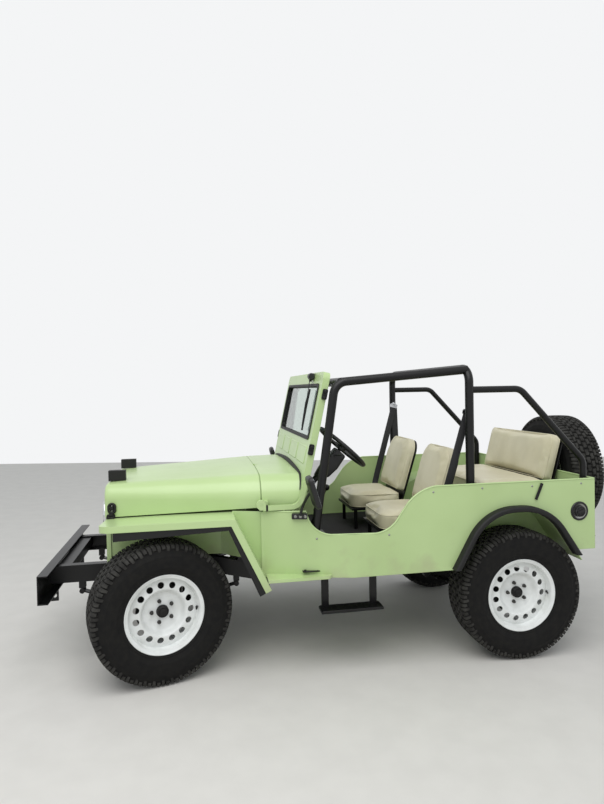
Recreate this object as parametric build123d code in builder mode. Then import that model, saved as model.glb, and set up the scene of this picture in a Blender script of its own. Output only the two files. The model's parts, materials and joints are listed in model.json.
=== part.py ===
from build123d import *
from math import atan, atan2, cos, degrees, radians, sin, sqrt, tan
import os

os.makedirs("parts", exist_ok=True)

# Short open four-seat utility vehicle with flat fenders and a roll cage
# Millimetres, +X forward, +Y left, +Z up, origin on the ground under the middle of the overall box
# The body has its own level axes: u forward from the front axle, y left, w up; it rides nose-down by the rake

# Overall sizes
wheelbase = 2032
tyre_radius = 368
tub_half = 734
rake = 1.6
hub_w = 368
axle_ahead = 5

# Wheels and steering
tyre_width = 236
tread_width = 206
rim_radius = 208
bead_radius = 190.5
rim_width = 190
face_offset = tub_half - 18
disc_wall = 5
vent_holes = 15
vent_radius = 15.5
vent_circle = 144
stud_circle = 57.15
stud_hole = 8
hub_bore = 32
hub_face = 27
drum_radius = 132
drum_back = -4
plate_face = -9
spindle_radius = 19.7
run_gap = 0.3
kingpin_y = face_offset - 150
kingpin_radius = 14
fork_low = -89
fork_high = 67
fork_thick = 22
rod_drop = 0.4
steer_rest = 17
steer_arm = 105
axle_tube = 32
shaft_y = -190

# Leaf springs
spring_y = 330
rear_spring_y = 336
spring_width = 44
spring_half = 430
spring_arch = 66
leaves = 5
leaf_thick = 7
eye_radius = 15
pad_drop = 36
pad_gap = 1.4

# Floors, and the ladder frame below them
wall = 5
floor_top = 525
rear_floor_top = floor_top + 95
tub_bottom = floor_top - 33
quarter_bottom = floor_top + 32
door_bottom = floor_top + 198
frame_half = 362
rail_height = 95
rail_flange = 48
rail_wall = 5
rail_top = floor_top - 40
rail_front_top = rail_top + 72
rail_rear_top = rear_floor_top - 70
gearbox_low = rail_top - 62
shaft_low = rail_top - rail_height - 32

# Front bumper
bumper_front = 598
bumper_half = 592
bumper_height = 150
bumper_depth = 52
bumper_wall = 6
bumper_top = rail_front_top + 17

# Body widths
side_front_half = tub_half - 122
cowl_half_front = side_front_half - 40
cowl_half_rear = side_front_half - 6
screen_half = side_front_half + 6
fender_out = tub_half + 6
hood_front_half = 408

# Body heights above the front fenders, which clear the tyres
fender_top = hub_w + tyre_radius + 107
fender_drop = 30
fender_lip = 34
lower_side_top = fender_top + 7
tub_top = fender_top + 121
hood_front_top = fender_top + 167
cowl_top = fender_top + 209
hood_clear = 10
hood_side = hood_front_top - fender_top + fender_drop - hood_clear
cowl_crown = 14
hood_crown = 8
cowl_shoulder = 130
hood_shoulder = 78
hood_nose = 20
sheet = 4
seam = 6

# Places along the front of the body
hood_front = 285
fender_front = hood_front - 13
fender_corner = 70
apron_y = hood_front_half - 26
apron_bottom = rail_front_top + 43
kink_u = -tyre_radius - 47
apron_bend = kink_u + 65
cowl_front = -tyre_radius - 203
cowl_rear = cowl_front - 221
foot_u = cowl_front - 27
foot_w = tub_bottom - 32
door_front = cowl_front - 229
crease_u = cowl_front - 475

# Places around the rear axle and the rear wheel arch
rear_u = -wheelbase - 5
rear_floor_front = rear_u + 427
tub_rear = rear_u - tyre_radius - 85
arch_top = hub_w + tyre_radius + 97
arch_radius = 310
arch_inset = 32
flare_out = 50
box_inner = face_offset - rim_width / 2 - tyre_width / 2 - 29

# Windshield
screen_lean = 12.6
screen_depth = 38
screen_place = cowl_rear - 51
screen_top = cowl_top + 556
screen_base = cowl_top - 127
glass_half = screen_half - 69
glass_low = cowl_top + 180
glass_high = cowl_top + 484
arm_inner = screen_half - 1
arm_width = 24
pivot_u = cowl_front + 10
pivot_w = cowl_top - 160
pin_radius = 8
hinge_u = cowl_front + 1.5
hinge_radius = 4
hinge_width = 300

# Roll cage
cage_tube = 24
brace_tube = 19
cage_clear = 2
cage_side_gap = 3.3
hoop_u = rear_u + 285
hoop_half = tub_half - wall - cage_tube - 37
hoop_top = screen_top + 5
hoop_bend = 80
cage_front_half = screen_half + cage_tube + cage_clear
cage_corner_u = cowl_front - 408
cage_corner_w = screen_top - 63
brace_w = hoop_top - 122
brace_bend_u = rear_u - 28
brace_rear_u = tub_rear + wall + brace_tube + 4
brace_low_w = tub_top + 100

# Seats: each back is a leaning line from its foot to its top, as (u, w) of its front face
seat_inner = 128
seat_outer = seat_inner + 414
cushion_front = cowl_front - 691
cushion_rear = cushion_front - 360
cushion_low = floor_top + 155
cushion_thick = 100
back_thick = 66
back_corner = 95
back_front = ((cushion_rear + 34, cushion_low + 126), (cushion_rear - 72, cushion_low + 470))
bench_half = 405
bench_rear = tub_rear + 94
bench_front = bench_rear + 440
bench_low = rear_floor_top + 180
bench_thick = 110
bench_back_thick = 75
bench_back_front = ((bench_rear + 25, bench_low + 118), (bench_rear - 50, bench_low + 397))
pad_rounding = 22
frame_tube = 12

# Steering wheel and column
column_y = 330
wheel_centre = (cowl_front - 518, column_y, cowl_top + 107)
column_way = (0.672, 0, -0.7405)
hand_radius = 168
hand_rim = 12
column_radius = 18
shaft_radius = 12

# Engine and driveline
engine_front = hood_front - 175
engine_rear = cowl_front + 151
engine_half = 150
engine_low = rail_front_top - 52
engine_high = hood_front_top - 110
exhaust_y = -266
exhaust_radius = 22
exhaust_w = rail_top - rail_height - 40

# Spare wheel behind the rear panel
spare_u = tub_rear - 179
spare_y = 88
spare_w = tub_top - 33


def save(solid, name, place=Location()):
    """Write one finished sub-part as its own file, moved to its place."""
    piece = place * solid
    piece.label = name
    export_step(piece, f"parts/{name}.step")


def plate(outline, low, high):
    """Prism of a side outline of (u, w) points between two widths y."""
    with BuildPart() as prism:
        with BuildSketch(Plane.XZ.offset(-low)):
            with BuildLine():
                Polyline(*outline, close=True)
            make_face()
        extrude(amount=-(high - low))
    return prism.part


def slab(outline, low, high):
    """Prism of a plan outline of (u, y) points between two heights w."""
    with BuildPart() as prism:
        with BuildSketch(Plane.XY.offset(low)):
            with BuildLine():
                Polyline(*outline, close=True)
            make_face()
        extrude(amount=high - low)
    return prism.part


def both_sides(solid):
    """The piece and its mirror image about the middle plane, as separate solids."""
    return Compound(children=[*solid.solids(), *mirror(solid, about=Plane.XZ).solids()])


def rod(points, radius, bends=None):
    """Round bar along a path: a cylinder on each straight run and a torus piece at each bend."""
    with BuildLine() as path:
        if bends:
            FilletPolyline(*points, radius=bends)
        else:
            Polyline(*points)
    with BuildPart() as bar:
        for run in path.edges():
            with BuildSketch(Plane(origin=run @ 0, z_dir=run % 0)):
                Circle(radius)
            if run.geom_type == GeomType.LINE:
                extrude(amount=run.length)
            else:
                revolve(axis=Axis(run.arc_center, (run % 0).cross(run % 1)),
                        revolution_arc=degrees(run.length / run.radius))
    return bar.part


# Tyre and wheel, each turned about its own Y axis with +Y outboard
tyre_side = rim_radius + 0.43 * (tyre_radius - rim_radius)
with BuildPart() as tyre:
    with BuildSketch(Plane.XY):
        with BuildLine():
            half, tread = tyre_width / 2, tread_width / 2
            seat = rim_width / 2 - 8
            bead = Polyline((rim_radius + 2, -seat), (bead_radius + run_gap, -seat),
                            (bead_radius + run_gap, seat), (rim_radius + 2, seat))
            outer_wall = ThreePointArc(bead @ 1, (tyre_side, half), (tyre_radius - 14, tread))
            crown_edge = Line(outer_wall @ 1, (tyre_radius, tread - 16))
            crown = Line(crown_edge @ 1, (tyre_radius, 16 - tread))
            inner_edge = Line(crown @ 1, (tyre_radius - 14, -tread))
            ThreePointArc(inner_edge @ 1, (tyre_side, -half), bead @ 0)
        make_face()
    revolve(axis=Axis.Y)

# Places that follow from the overall box: it is as far ahead of the origin as behind it
spare_stand = Location((spare_u, spare_y, spare_w)) * Rotation(0, 0, 90)
front_reach = bumper_front * cos(radians(rake)) + bumper_top * sin(radians(rake))
rear_reach = (Rotation(0, rake, 0) * spare_stand * tyre.part).bounding_box().min.X
datum_x = -round((front_reach + rear_reach) / 2, 1)
front_axle_x = datum_x + axle_ahead
rear_axle_x = front_axle_x - wheelbase
wheel_y = face_offset - rim_width / 2
hub_z = tyre_radius
body_place = Location((datum_x, 0, hub_z - hub_w)) * Rotation(0, rake, 0)


def in_body(x, z):
    """Body place (u, w) of a point given in the row's frame."""
    turn, ahead, up = radians(rake), x - datum_x, z - hub_z + hub_w
    return ahead * cos(turn) - up * sin(turn), ahead * sin(turn) + up * cos(turn)


with BuildPart() as rim:
    with BuildSketch(Plane.XY):
        with BuildLine():
            edge = rim_width / 2
            Polyline((rim_radius, edge), (rim_radius, edge - 5), (bead_radius, edge - 7), (bead_radius, 45),
                     (bead_radius - 18, 25), (bead_radius - 18, -20), (bead_radius, -35),
                     (bead_radius, 7 - edge), (rim_radius, 5 - edge), (rim_radius, -edge),
                     (bead_radius - disc_wall, -edge), (bead_radius - disc_wall, -38),
                     (bead_radius - 23, -22), (bead_radius - 23, 27), (bead_radius - disc_wall, 47),
                     (bead_radius - disc_wall, edge), close=True)
        make_face()
        with BuildLine() as disc_line:
            FilletPolyline((bead_radius - 3, 44), (172, 61), (122, 64), (101, hub_face + disc_wall / 2),
                           (hub_bore, hub_face + disc_wall / 2), radius=8)
        trace(disc_line.line, line_width=disc_wall)
    revolve(axis=Axis.Y)
    with Locations(Plane(origin=(0, 80, 0), z_dir=(0, 1, 0))):
        with PolarLocations(vent_circle, vent_holes):
            Hole(vent_radius, depth=40)
        with PolarLocations(stud_circle, 5):
            Hole(stud_hole, depth=70)

with BuildPart() as drum:
    with BuildSketch(Plane.XY):
        with BuildLine():
            Polyline((spindle_radius + run_gap, 18), (spindle_radius + run_gap, drum_back), (60, drum_back),
                     (60, 14), (drum_radius - 8, 14), (drum_radius - 8, drum_back), (drum_radius, drum_back),
                     (drum_radius, 20), (drum_radius - 6, hub_face - run_gap),
                     (hub_bore - 1, hub_face - run_gap), (hub_bore - 1, 50), (24, 58), (0, 58), (0, 18),
                     close=True)
        make_face()
    revolve(axis=Axis.Y)

wheel_solids = Compound(children=[rim.part.solid(), drum.part.solid()])
steered = Location((front_axle_x, kingpin_y, hub_z)) * Rotation(0, 0, steer_rest)
left_front = steered * Location((0, wheel_y - kingpin_y, 0))
right_front = (Location((front_axle_x, -kingpin_y, hub_z)) * Rotation(0, 0, steer_rest)
               * Location((0, kingpin_y - wheel_y, 0)) * Rotation(0, 0, 180))
left_rear = Location((rear_axle_x, wheel_y, hub_z))
right_rear = Location((rear_axle_x, -wheel_y, hub_z)) * Rotation(0, 0, 180)
for corner, place in (("front_left", left_front), ("front_right", right_front),
                      ("rear_left", left_rear), ("rear_right", right_rear)):
    save(wheel_solids, corner + "_wheel", place)
    save(tyre.part, corner + "_tyre", place)

# Left steering knuckle about its kingpin: fork, backing plate, spindle and arm
plate_y = wheel_y - kingpin_y + plate_face
with BuildPart() as knuckle:
    with BuildSketch(Plane.XZ.offset(-plate_y)):
        Circle(drum_radius - 4)
    extrude(amount=6)
    with BuildSketch(Plane.XZ.offset(-plate_y)):
        Rectangle(68, 178)
    extrude(amount=9)
    with BuildSketch(Plane.XZ.offset(-plate_y)):
        Circle(spindle_radius)
    extrude(amount=-24)
    for level in (fork_low, fork_high):
        with BuildSketch(Plane.XY.offset(level)):
            with BuildLine():
                Polyline((-34, 0), (-34, plate_y - 2), (34, plate_y - 2), (34, 0))
                ThreePointArc((34, 0), (0, -34), (-34, 0))
            make_face()
            Circle(kingpin_radius + run_gap, mode=Mode.SUBTRACT)
        extrude(amount=fork_thick)
    with BuildSketch(Plane.XY.offset(fork_low)):
        with BuildLine():
            Polyline((-20, -12), (-steer_arm, -34), (-steer_arm, 0), (-30, 26), close=True)
        make_face()
        with Locations((-steer_arm, -17)):
            Circle(17)
        Circle(kingpin_radius + run_gap, mode=Mode.SUBTRACT)
    extrude(amount=18)

save(knuckle.part, "left_knuckle", steered)
save(mirror(knuckle.part, about=Plane.XZ), "right_knuckle",
     Location((front_axle_x, -kingpin_y, hub_z)) * Rotation(0, 0, steer_rest))

# Tie rod under the two steering arms
left_tip = (steered * Location((-steer_arm, -17, fork_low - rod_drop))).position
right_tip = (Location((front_axle_x, -kingpin_y, hub_z)) * Rotation(0, 0, steer_rest)
             * Location((-steer_arm, 17, fork_low - rod_drop))).position
rod_x = (left_tip.X + right_tip.X) / 2
with BuildPart() as tie_rod:
    with BuildSketch(Plane.XZ.offset(-right_tip.Y)):
        with Locations((rod_x, left_tip.Z - 12)):
            Circle(11)
    extrude(amount=-(left_tip.Y - right_tip.Y))
    for tip in (left_tip, right_tip):
        with Locations((rod_x, tip.Y, left_tip.Z)):
            Cylinder(16, 24, align=(Align.CENTER, Align.CENTER, Align.MAX))
save(tie_rod.part, "tie_rod")

# Front axle between the kingpins, with an offset round differential housing
eye_drop = spring_arch - pad_drop - leaf_thick / 2
with BuildPart() as front_axle:
    with BuildSketch(Plane.XZ.offset(kingpin_y)):
        Circle(axle_tube)
    extrude(amount=-2 * kingpin_y)
    with Locations((0, shaft_y, 0)):
        Sphere(118)
    with Locations((-20, shaft_y, 0)):
        Cylinder(52, 150, rotation=(0, -90, 0), align=(Align.CENTER, Align.CENTER, Align.MIN))
    for side in (1, -1):
        with Locations((0, side * kingpin_y, 0)):
            Cylinder(30, 2 * (fork_high - 2))
            Cylinder(kingpin_radius, 2 * (fork_high + fork_thick))
        with Locations((0, side * spring_y, pad_gap - pad_drop)):
            Box(110, spring_width + 6, 30, align=(Align.CENTER, Align.CENTER, Align.MIN))
save(front_axle.part, "front_axle", Location((front_axle_x, 0, hub_z)))

# Rear axle with a central housing, backing plates and spindles for the drums
with BuildPart() as rear_axle:
    with BuildSketch(Plane.XZ.offset(wheel_y + plate_face - 3)):
        Circle(axle_tube + 4)
    extrude(amount=-2 * (wheel_y + plate_face - 3))
    with Locations((0, shaft_y, 0)):
        Sphere(125)
    with Locations((20, shaft_y, 0)):
        Cylinder(52, 150, rotation=(0, 90, 0), align=(Align.CENTER, Align.CENTER, Align.MIN))
    for side in (1, -1):
        with Locations(Location((0, side * (wheel_y + plate_face - 3), 0), (90, 0, 0))):
            Cylinder(drum_radius - 4, 6)
        with Locations(Location((0, side * (wheel_y + plate_face + 4), 0), (90, 0, 0))):
            Cylinder(spindle_radius, 40)
        with Locations((0, side * rear_spring_y, pad_gap - pad_drop)):
            Box(110, spring_width + 6, 30, align=(Align.CENTER, Align.CENTER, Align.MIN))
save(rear_axle.part, "rear_axle", Location((rear_axle_x, 0, hub_z)))

# Leaf springs under the axles: the main leaf on top, shorter leaves below, rolled end eyes
with BuildPart() as spring:
    for leaf in range(leaves):
        reach = spring_half - leaf * 66
        rise = spring_arch * (reach / spring_half) ** 2
        top = -pad_drop - leaf * leaf_thick
        with BuildSketch(Plane.XZ.offset(-spring_width / 2)):
            with BuildLine():
                over = ThreePointArc((-reach, top + rise), (0, top), (reach, top + rise))
                end = Line(over @ 1, (reach, top + rise - leaf_thick))
                under = ThreePointArc(end @ 1, (0, top - leaf_thick - 1), (-reach, top + rise - leaf_thick))
                Line(under @ 1, over @ 0)
            make_face()
        extrude(amount=spring_width)
    for end in (1, -1):
        with Locations(Location((end * spring_half, 0, eye_drop), (90, 0, 0))):
            Cylinder(eye_radius, spring_width)
    with Locations((0, 0, -pad_drop - leaves * leaf_thick)):
        Box(110, spring_width + 8, 10, align=(Align.CENTER, Align.CENTER, Align.MAX))
spring_places = [(x, side * y) for x, y in ((front_axle_x, spring_y), (rear_axle_x, rear_spring_y))
                 for side in (1, -1)]
springs = Compound(children=[Location((x, y, hub_z)) * spring.part.solid() for x, y in spring_places])
save(springs, "leaf_springs")

# Ladder frame: two pressed channels that rise at both ends, and welded cross members
rail_line = ((bumper_front - bumper_wall, rail_front_top), (cowl_front + 271, rail_front_top),
             (cowl_front + 1, rail_top + 7), (cowl_front - 129, rail_top), (rear_u + 437, rail_top),
             (rear_u + 257, rail_rear_top), (tub_rear - 20, rail_rear_top))


def rail_bottom(u):
    """Height of the rail's lower face at u."""
    for (u0, w0), (u1, w1) in zip(rail_line, rail_line[1:]):
        if u1 <= u <= u0:
            return w0 + (w1 - w0) * (u - u0) / (u1 - u0) - rail_height
    return rail_rear_top - rail_height


rail_outline = [*rail_line, *((u, w - rail_height) for u, w in reversed(rail_line))]
# Cross members: place along the frame, top height, length, height
cross_members = ((bumper_front - 78, rail_front_top - 8, 70, 60),
                 (hood_front - 115, rail_front_top - 20, 60, 70),
                 (engine_rear - 580, gearbox_low, 80, gearbox_low - rail_top + rail_height),
                 (rear_u + 787, rail_top - 12, 80, 40),
                 (rear_u + 197, rail_rear_top - 12, 80, 60),
                 (tub_rear + 30, rail_rear_top - 8, 70, 79))
# Body mounts: place along the frame, underside of the floor, top of the rail
body_mounts = ((cowl_front - 69, floor_top - wall, rail_top), (cowl_front - 549, floor_top - wall, rail_top),
               (rear_u + 497, floor_top - wall, rail_top), (rear_u + 137, rear_floor_top - wall, rail_rear_top),
               (tub_rear + 90, rear_floor_top - wall, rail_rear_top))
with BuildPart() as frame:
    with BuildSketch(Plane.XZ.offset(-frame_half)):
        with BuildLine():
            Polyline(*rail_outline, close=True)
        make_face()
    extrude(amount=rail_flange)
    with BuildSketch(Plane.XZ.offset(-(frame_half - rail_wall))):
        with BuildLine():
            Polyline(*rail_outline, close=True)
        make_face()
        offset(amount=-rail_wall, kind=Kind.INTERSECTION, mode=Mode.REPLACE)
    extrude(amount=rail_flange, mode=Mode.SUBTRACT)
    mirror(about=Plane.XZ)
    for u, top, length, height in cross_members:
        with Locations((u, 0, top - height / 2)):
            Box(length, 2 * (frame_half - rail_wall / 2), height)
    for u, under, rail in body_mounts:
        for side in (1, -1):
            with Locations((u, side * (frame_half - rail_flange / 2), under - run_gap)):
                Box(60, rail_flange, under - run_gap - rail, align=(Align.CENTER, Align.CENTER, Align.MAX))
    # Spring hangers from the rails down to the eyes
    for x, y in spring_places:
        for end in (1, -1):
            eye_u, eye_w = in_body(x + end * spring_half, hub_z + eye_drop)
            low = eye_w + eye_radius + run_gap
            with Locations((eye_u, y, low)):
                Box(34, spring_width - 8, rail_bottom(eye_u) - low + rail_wall,
                    align=(Align.CENTER, Align.CENTER, Align.MIN))
save(frame.part, "chassis_frame", body_place)

# Front bumper: a wide channel with its flat web forward and its flanges back
with BuildPart() as bumper:
    with BuildSketch(Plane.XZ.offset(-bumper_half)):
        with BuildLine():
            back, low = bumper_front - bumper_depth, bumper_top - bumper_height
            Polyline((back, bumper_top), (bumper_front, bumper_top), (bumper_front, low), (back, low),
                     (back, low + bumper_wall), (bumper_front - bumper_wall, low + bumper_wall),
                     (bumper_front - bumper_wall, bumper_top - bumper_wall),
                     (back, bumper_top - bumper_wall), close=True)
        make_face()
    extrude(amount=2 * bumper_half)
    # Two folded tow hooks that hang from the lower flange
    for side in (1, -1):
        with BuildSketch(Plane.XZ.offset(-side * frame_half - 6)):
            with Locations((bumper_front - 30, bumper_top - bumper_height - 26)):
                Rectangle(44, 60)
                Circle(14, mode=Mode.SUBTRACT)
        extrude(amount=12)
save(bumper.part, "front_bumper", body_place)

# Corner points of the rear arch, from its front foot over to its rear foot
arch_points = ((rear_u + tyre_radius + 99, hub_w + 68), (rear_u + tyre_radius - 126, arch_top),
               (rear_u - tyre_radius + 220, arch_top), (rear_u - tyre_radius - 44, hub_w + 68))


def arch_block(inset, low, high):
    """Solid of the arch outline, made smaller by the inset, between two widths on the left side."""
    with BuildPart() as block:
        with BuildSketch(Plane.XZ.offset(-high)):
            with BuildLine() as outline:
                line = FilletPolyline(*arch_points, radius=arch_radius)
                Line(line @ 1, line @ 0)
            make_face(outline.edges())
            if inset:
                offset(amount=-inset, kind=Kind.INTERSECTION, mode=Mode.REPLACE)
        extrude(amount=high - low)
    return block.part


# Body sides: tapered to the front, with the door openings and the wheel arches cut out
taper = atan((tub_half - side_front_half) / (cowl_front - crease_u))
inner_front = side_front_half - wall / cos(taper)
inner_crease = crease_u - wall * tan(taper / 2)


def side_y(u):
    """Outer half width of the body side at u."""
    return side_front_half + (cowl_front - u) * tan(taper)


with BuildPart() as door_cut:
    with BuildSketch(Plane.XZ.offset(-tub_half - 100)):
        with BuildLine():
            front = Line((door_front, tub_top + 60), (door_front, door_bottom + 140))
            corner = RadiusArc(front @ 1, (door_front - 128, door_bottom), -136)
            sill = Line(corner @ 1, (cowl_front - 599, door_bottom))
            lower = ThreePointArc(sill @ 1, (sill @ 1) + (-75, 24), (sill @ 1) + (-134, 84))
            rise = Line(lower @ 1, (lower @ 1) + (-52, 72))
            upper = ThreePointArc(rise @ 1, (rise @ 1) + (-59, 50), (cowl_front - 949, tub_top))
            Polyline(upper @ 1, (cowl_front - 949, tub_top + 60), front @ 0)
        make_face()
    extrude(amount=200 + wall + tub_half - side_front_half)
front_cut = plate(((door_front, lower_side_top), (door_front, tub_top + 40), (cowl_front + 60, tub_top + 40),
                   (cowl_front + 60, lower_side_top)), 0, tub_half + 100)
quarter_u = rear_u - tyre_radius + 105
quarter_cut = plate(((quarter_u, tub_bottom - 30), (quarter_u, quarter_bottom),
                     (tub_rear - 40, quarter_bottom), (tub_rear - 40, tub_bottom - 30)), 0, tub_half + 100)
body_side = slab(((tub_rear, tub_half), (crease_u, tub_half), (cowl_front, side_front_half),
                  (cowl_front, inner_front), (inner_crease, tub_half - wall), (tub_rear, tub_half - wall)),
                 tub_bottom, tub_top)
body_side = (body_side - front_cut - door_cut.part - quarter_cut
             - arch_block(arch_inset, tub_half - wall - 2, tub_half + 20))
save(both_sides(body_side), "body_sides", body_place)

# Floor: a flat front part with a flange over the gearbox, and a raised rear part with its riser
boxes_clear = arch_block(-run_gap, box_inner - run_gap, tub_half)
floor_edge = inner_front - run_gap
crease_edge = tub_half - wall - run_gap
front_plan = ((rear_floor_front - wall, crease_edge), (inner_crease, crease_edge), (cowl_front, floor_edge),
              (cowl_front, -floor_edge), (inner_crease, -crease_edge), (rear_floor_front - wall, -crease_edge))
front_floor = slab(front_plan, floor_top - wall, floor_top)
flange = plate(((cowl_front - wall, tub_bottom), (cowl_front - wall, floor_top), (cowl_front, floor_top),
                (cowl_front, tub_bottom)), -floor_edge, floor_edge)
gearbox_notch = plate(((cowl_front - 2 * wall, tub_bottom - 1), (cowl_front - 2 * wall, floor_top - wall),
                       (cowl_front + wall, floor_top - wall), (cowl_front + wall, tub_bottom - 1)), -120, 120)
rear_floor = plate(((rear_floor_front - wall, floor_top), (rear_floor_front - wall, rear_floor_top - wall),
                    (tub_rear + wall + run_gap, rear_floor_top - wall),
                    (tub_rear + wall + run_gap, rear_floor_top), (rear_floor_front, rear_floor_top),
                    (rear_floor_front, floor_top)), -crease_edge, crease_edge)
boxes_clear = boxes_clear + mirror(boxes_clear, about=Plane.XZ)
front_floor = front_floor + flange - gearbox_notch - boxes_clear
rear_floor = rear_floor - boxes_clear
save(Compound(children=[front_floor.solid(), rear_floor.solid()]), "body_floor", body_place)

# Rear panel between the sides
with BuildPart() as rear_panel:
    with Locations((tub_rear, 0, quarter_bottom)):
        Box(wall, 2 * crease_edge, tub_top - quarter_bottom, align=(Align.MIN, Align.CENTER, Align.MIN))
save(rear_panel.part, "rear_panel", body_place)

# Wheel boxes: a bent roof over each rear wheel and a flat inner wall under it
below = plate(((rear_u + 800, 0), (rear_u + 800, tub_bottom), (tub_rear - 200, tub_bottom),
               (tub_rear - 200, 0)), 0, tub_half + 100)
box_roof = (arch_block(0, box_inner, crease_edge) - arch_block(wall, box_inner - 1, tub_half) - below)
box_wall = arch_block(wall + run_gap, box_inner, box_inner + wall) - below
save(Compound(children=[*box_roof.solids(), *mirror(box_roof, about=Plane.XZ).solids(), *box_wall.solids(),
                        *mirror(box_wall, about=Plane.XZ).solids()]), "wheel_boxes", body_place)

# Rubber arch flares on the body sides, with rounded outer edges
flare = arch_block(0, tub_half, tub_half + flare_out) - arch_block(arch_inset, tub_half - 1, tub_half + 90)
flare_edges = [edge for edge in flare.edges() if (edge @ 0.5).Y > tub_half + flare_out - 1]
flare = fillet(flare_edges, 13)
flare = flare - plate(((rear_u + 800, 0), (rear_u + 800, tub_bottom + 8), (rear_u + 47, tub_bottom + 8),
                       (rear_u + 47, quarter_bottom - 20), (tub_rear - 200, quarter_bottom - 20),
                       (tub_rear - 200, 0)), 0, tub_half + 200)

# Rubber strips inside the lips of the front fenders
slope = atan2(fender_top - foot_w, kink_u - foot_u)
miter = slope / 2
strip_outer = fender_out - sheet - run_gap


def under_slope(depth):
    """Foot of the line that runs a depth below the fender's sloping top."""
    return foot_u + depth * sin(slope), foot_w - depth * cos(slope)


def under_kink(depth):
    """Corner of the line that runs a depth below the fender's top."""
    return kink_u + depth * tan(miter), fender_top - depth


strip = plate(((fender_front - 75, fender_top - 14), under_kink(14), under_slope(14), under_slope(69),
               under_kink(56), (fender_front - 75, fender_top - 79)), strip_outer - 5, strip_outer)
save(Compound(children=[*both_sides(flare).solids(), *both_sides(strip).solids()]), "arch_flares", body_place)


def crown_face(half, top, crown, shoulder, low, inset=0):
    """Draw a hood or cowl cross-section: sides from a low edge, wide shoulders and a crowned top."""
    side, high, bend = half - inset, top - inset, shoulder - inset
    edge = high - crown
    with BuildLine() as outline:
        Line((side, low), (side, edge - bend))
        left_bend = CenterArc((side - bend, edge - bend), bend, 0, 90)
        ThreePointArc(left_bend @ 1, (0, high), (bend - side, edge))
        right_bend = CenterArc((bend - side, edge - bend), bend, 90, 90)
        Polyline(right_bend @ 1, (-side, low), (side, low))
    make_face(outline.edges())


def crown_block(*sections):
    """Straight-sided loft through cross-sections, each given as (u, values of crown_face)."""
    with BuildPart() as block:
        for u, values in sections:
            with BuildSketch(Plane.YZ.offset(u)):
                crown_face(*values)
        loft(ruled=True)
    return block.part


# Hood: a crowned sheet that narrows to a rounded nose, open below, at the front and at the rear
hood_rear = cowl_front + seam
rear_low = cowl_top - hood_side
front_low = hood_front_top - hood_side
deep = -100
hood_wide = (cowl_half_front, cowl_top, cowl_crown, cowl_shoulder)
hood_slim = (hood_front_half, hood_front_top, hood_crown, hood_shoulder)
nose = [(hood_front - hood_nose * (1 - sin(radians(turn))), hood_nose * (1 - cos(radians(turn))))
        for turn in (0, 35, 65, 90)]
outer = crown_block((hood_rear, (*hood_wide, rear_low)),
                    *((u, (*hood_slim, front_low, inset)) for u, inset in nose))
inner = crown_block((hood_rear - 1, (*hood_wide, rear_low + deep, sheet)),
                    *((u, (*hood_slim, front_low + deep, inset + sheet)) for u, inset in nose),
                    (hood_front + 1, (*hood_slim, front_low + deep, hood_nose + sheet)))
save(outer - inner, "hood", body_place)

# Two rubber blocks on the hood for the folded windshield
with BuildPart() as hood_blocks:
    for side in (1, -1):
        with Locations((hood_front - 57, side * 279, hood_front_top - 2)):
            Box(94, 44, 58, align=(Align.CENTER, Align.CENTER, Align.MIN))
blocks = hood_blocks.part - outer
save(Compound(children=[b for b in blocks.solids() if b.volume > 5000]), "hood_blocks", body_place)

# Cowl: crowned top, instrument panel, bulkhead and pivot bosses for the windshield
cowl_low = lower_side_top + seam
cowl_wide = (cowl_half_rear, cowl_top, cowl_crown, cowl_shoulder)
cowl_outer = crown_block((cowl_rear, (*cowl_wide, cowl_low)), (cowl_front, (*hood_wide, cowl_low)))
cowl_inner = crown_block((cowl_rear - 1, (*cowl_wide, cowl_low + deep, sheet)),
                         (cowl_front + 1, (*hood_wide, cowl_low + deep, sheet)))
with BuildPart() as cowl:
    add(cowl_outer - cowl_inner)
    with BuildSketch(Plane.YZ.offset(cowl_front - sheet)):
        crown_face(*hood_wide, cowl_low, sheet / 2)
        with Locations((0, (floor_top + cowl_top - cowl_shoulder) / 2)):
            Rectangle(2 * (cowl_half_front - 2), cowl_top - cowl_shoulder - floor_top)
    extrude(amount=sheet)
    with BuildSketch(Plane.YZ.offset(cowl_rear)):
        crown_face(*cowl_wide, cowl_low, sheet / 2)
    extrude(amount=sheet)
    for side in (1, -1):
        with Locations((cowl_front, side * (cowl_half_front - 3), pivot_w)):
            Box(30, 43, 28, align=(Align.MAX, Align.MIN if side > 0 else Align.MAX, Align.CENTER))
        with Locations(Location((pivot_u, side * (cowl_half_front + 8), pivot_w), (side * -90, 0, 0))):
            Cylinder(17, arm_inner - cowl_half_front - 8 - run_gap,
                     align=(Align.CENTER, Align.CENTER, Align.MIN))
            Cylinder(pin_radius, arm_inner + arm_width - cowl_half_front - 8,
                     align=(Align.CENTER, Align.CENTER, Align.MIN))
    # Hinge barrel along the rear edge of the hood
    with Locations((hinge_u - 12, 0, cowl_top - 3)):
        Box(24, hinge_width, 6)
    with Locations(Location((hinge_u, 0, cowl_top), (90, 0, 0))):
        Cylinder(hinge_radius, hinge_width)
    # Passage for the steering column under the instrument panel
    with BuildSketch(Plane(origin=wheel_centre, z_dir=column_way)):
        Circle(column_radius + 2)
    extrude(amount=500, mode=Mode.SUBTRACT)
save(cowl.part, "cowl", body_place)

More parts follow.
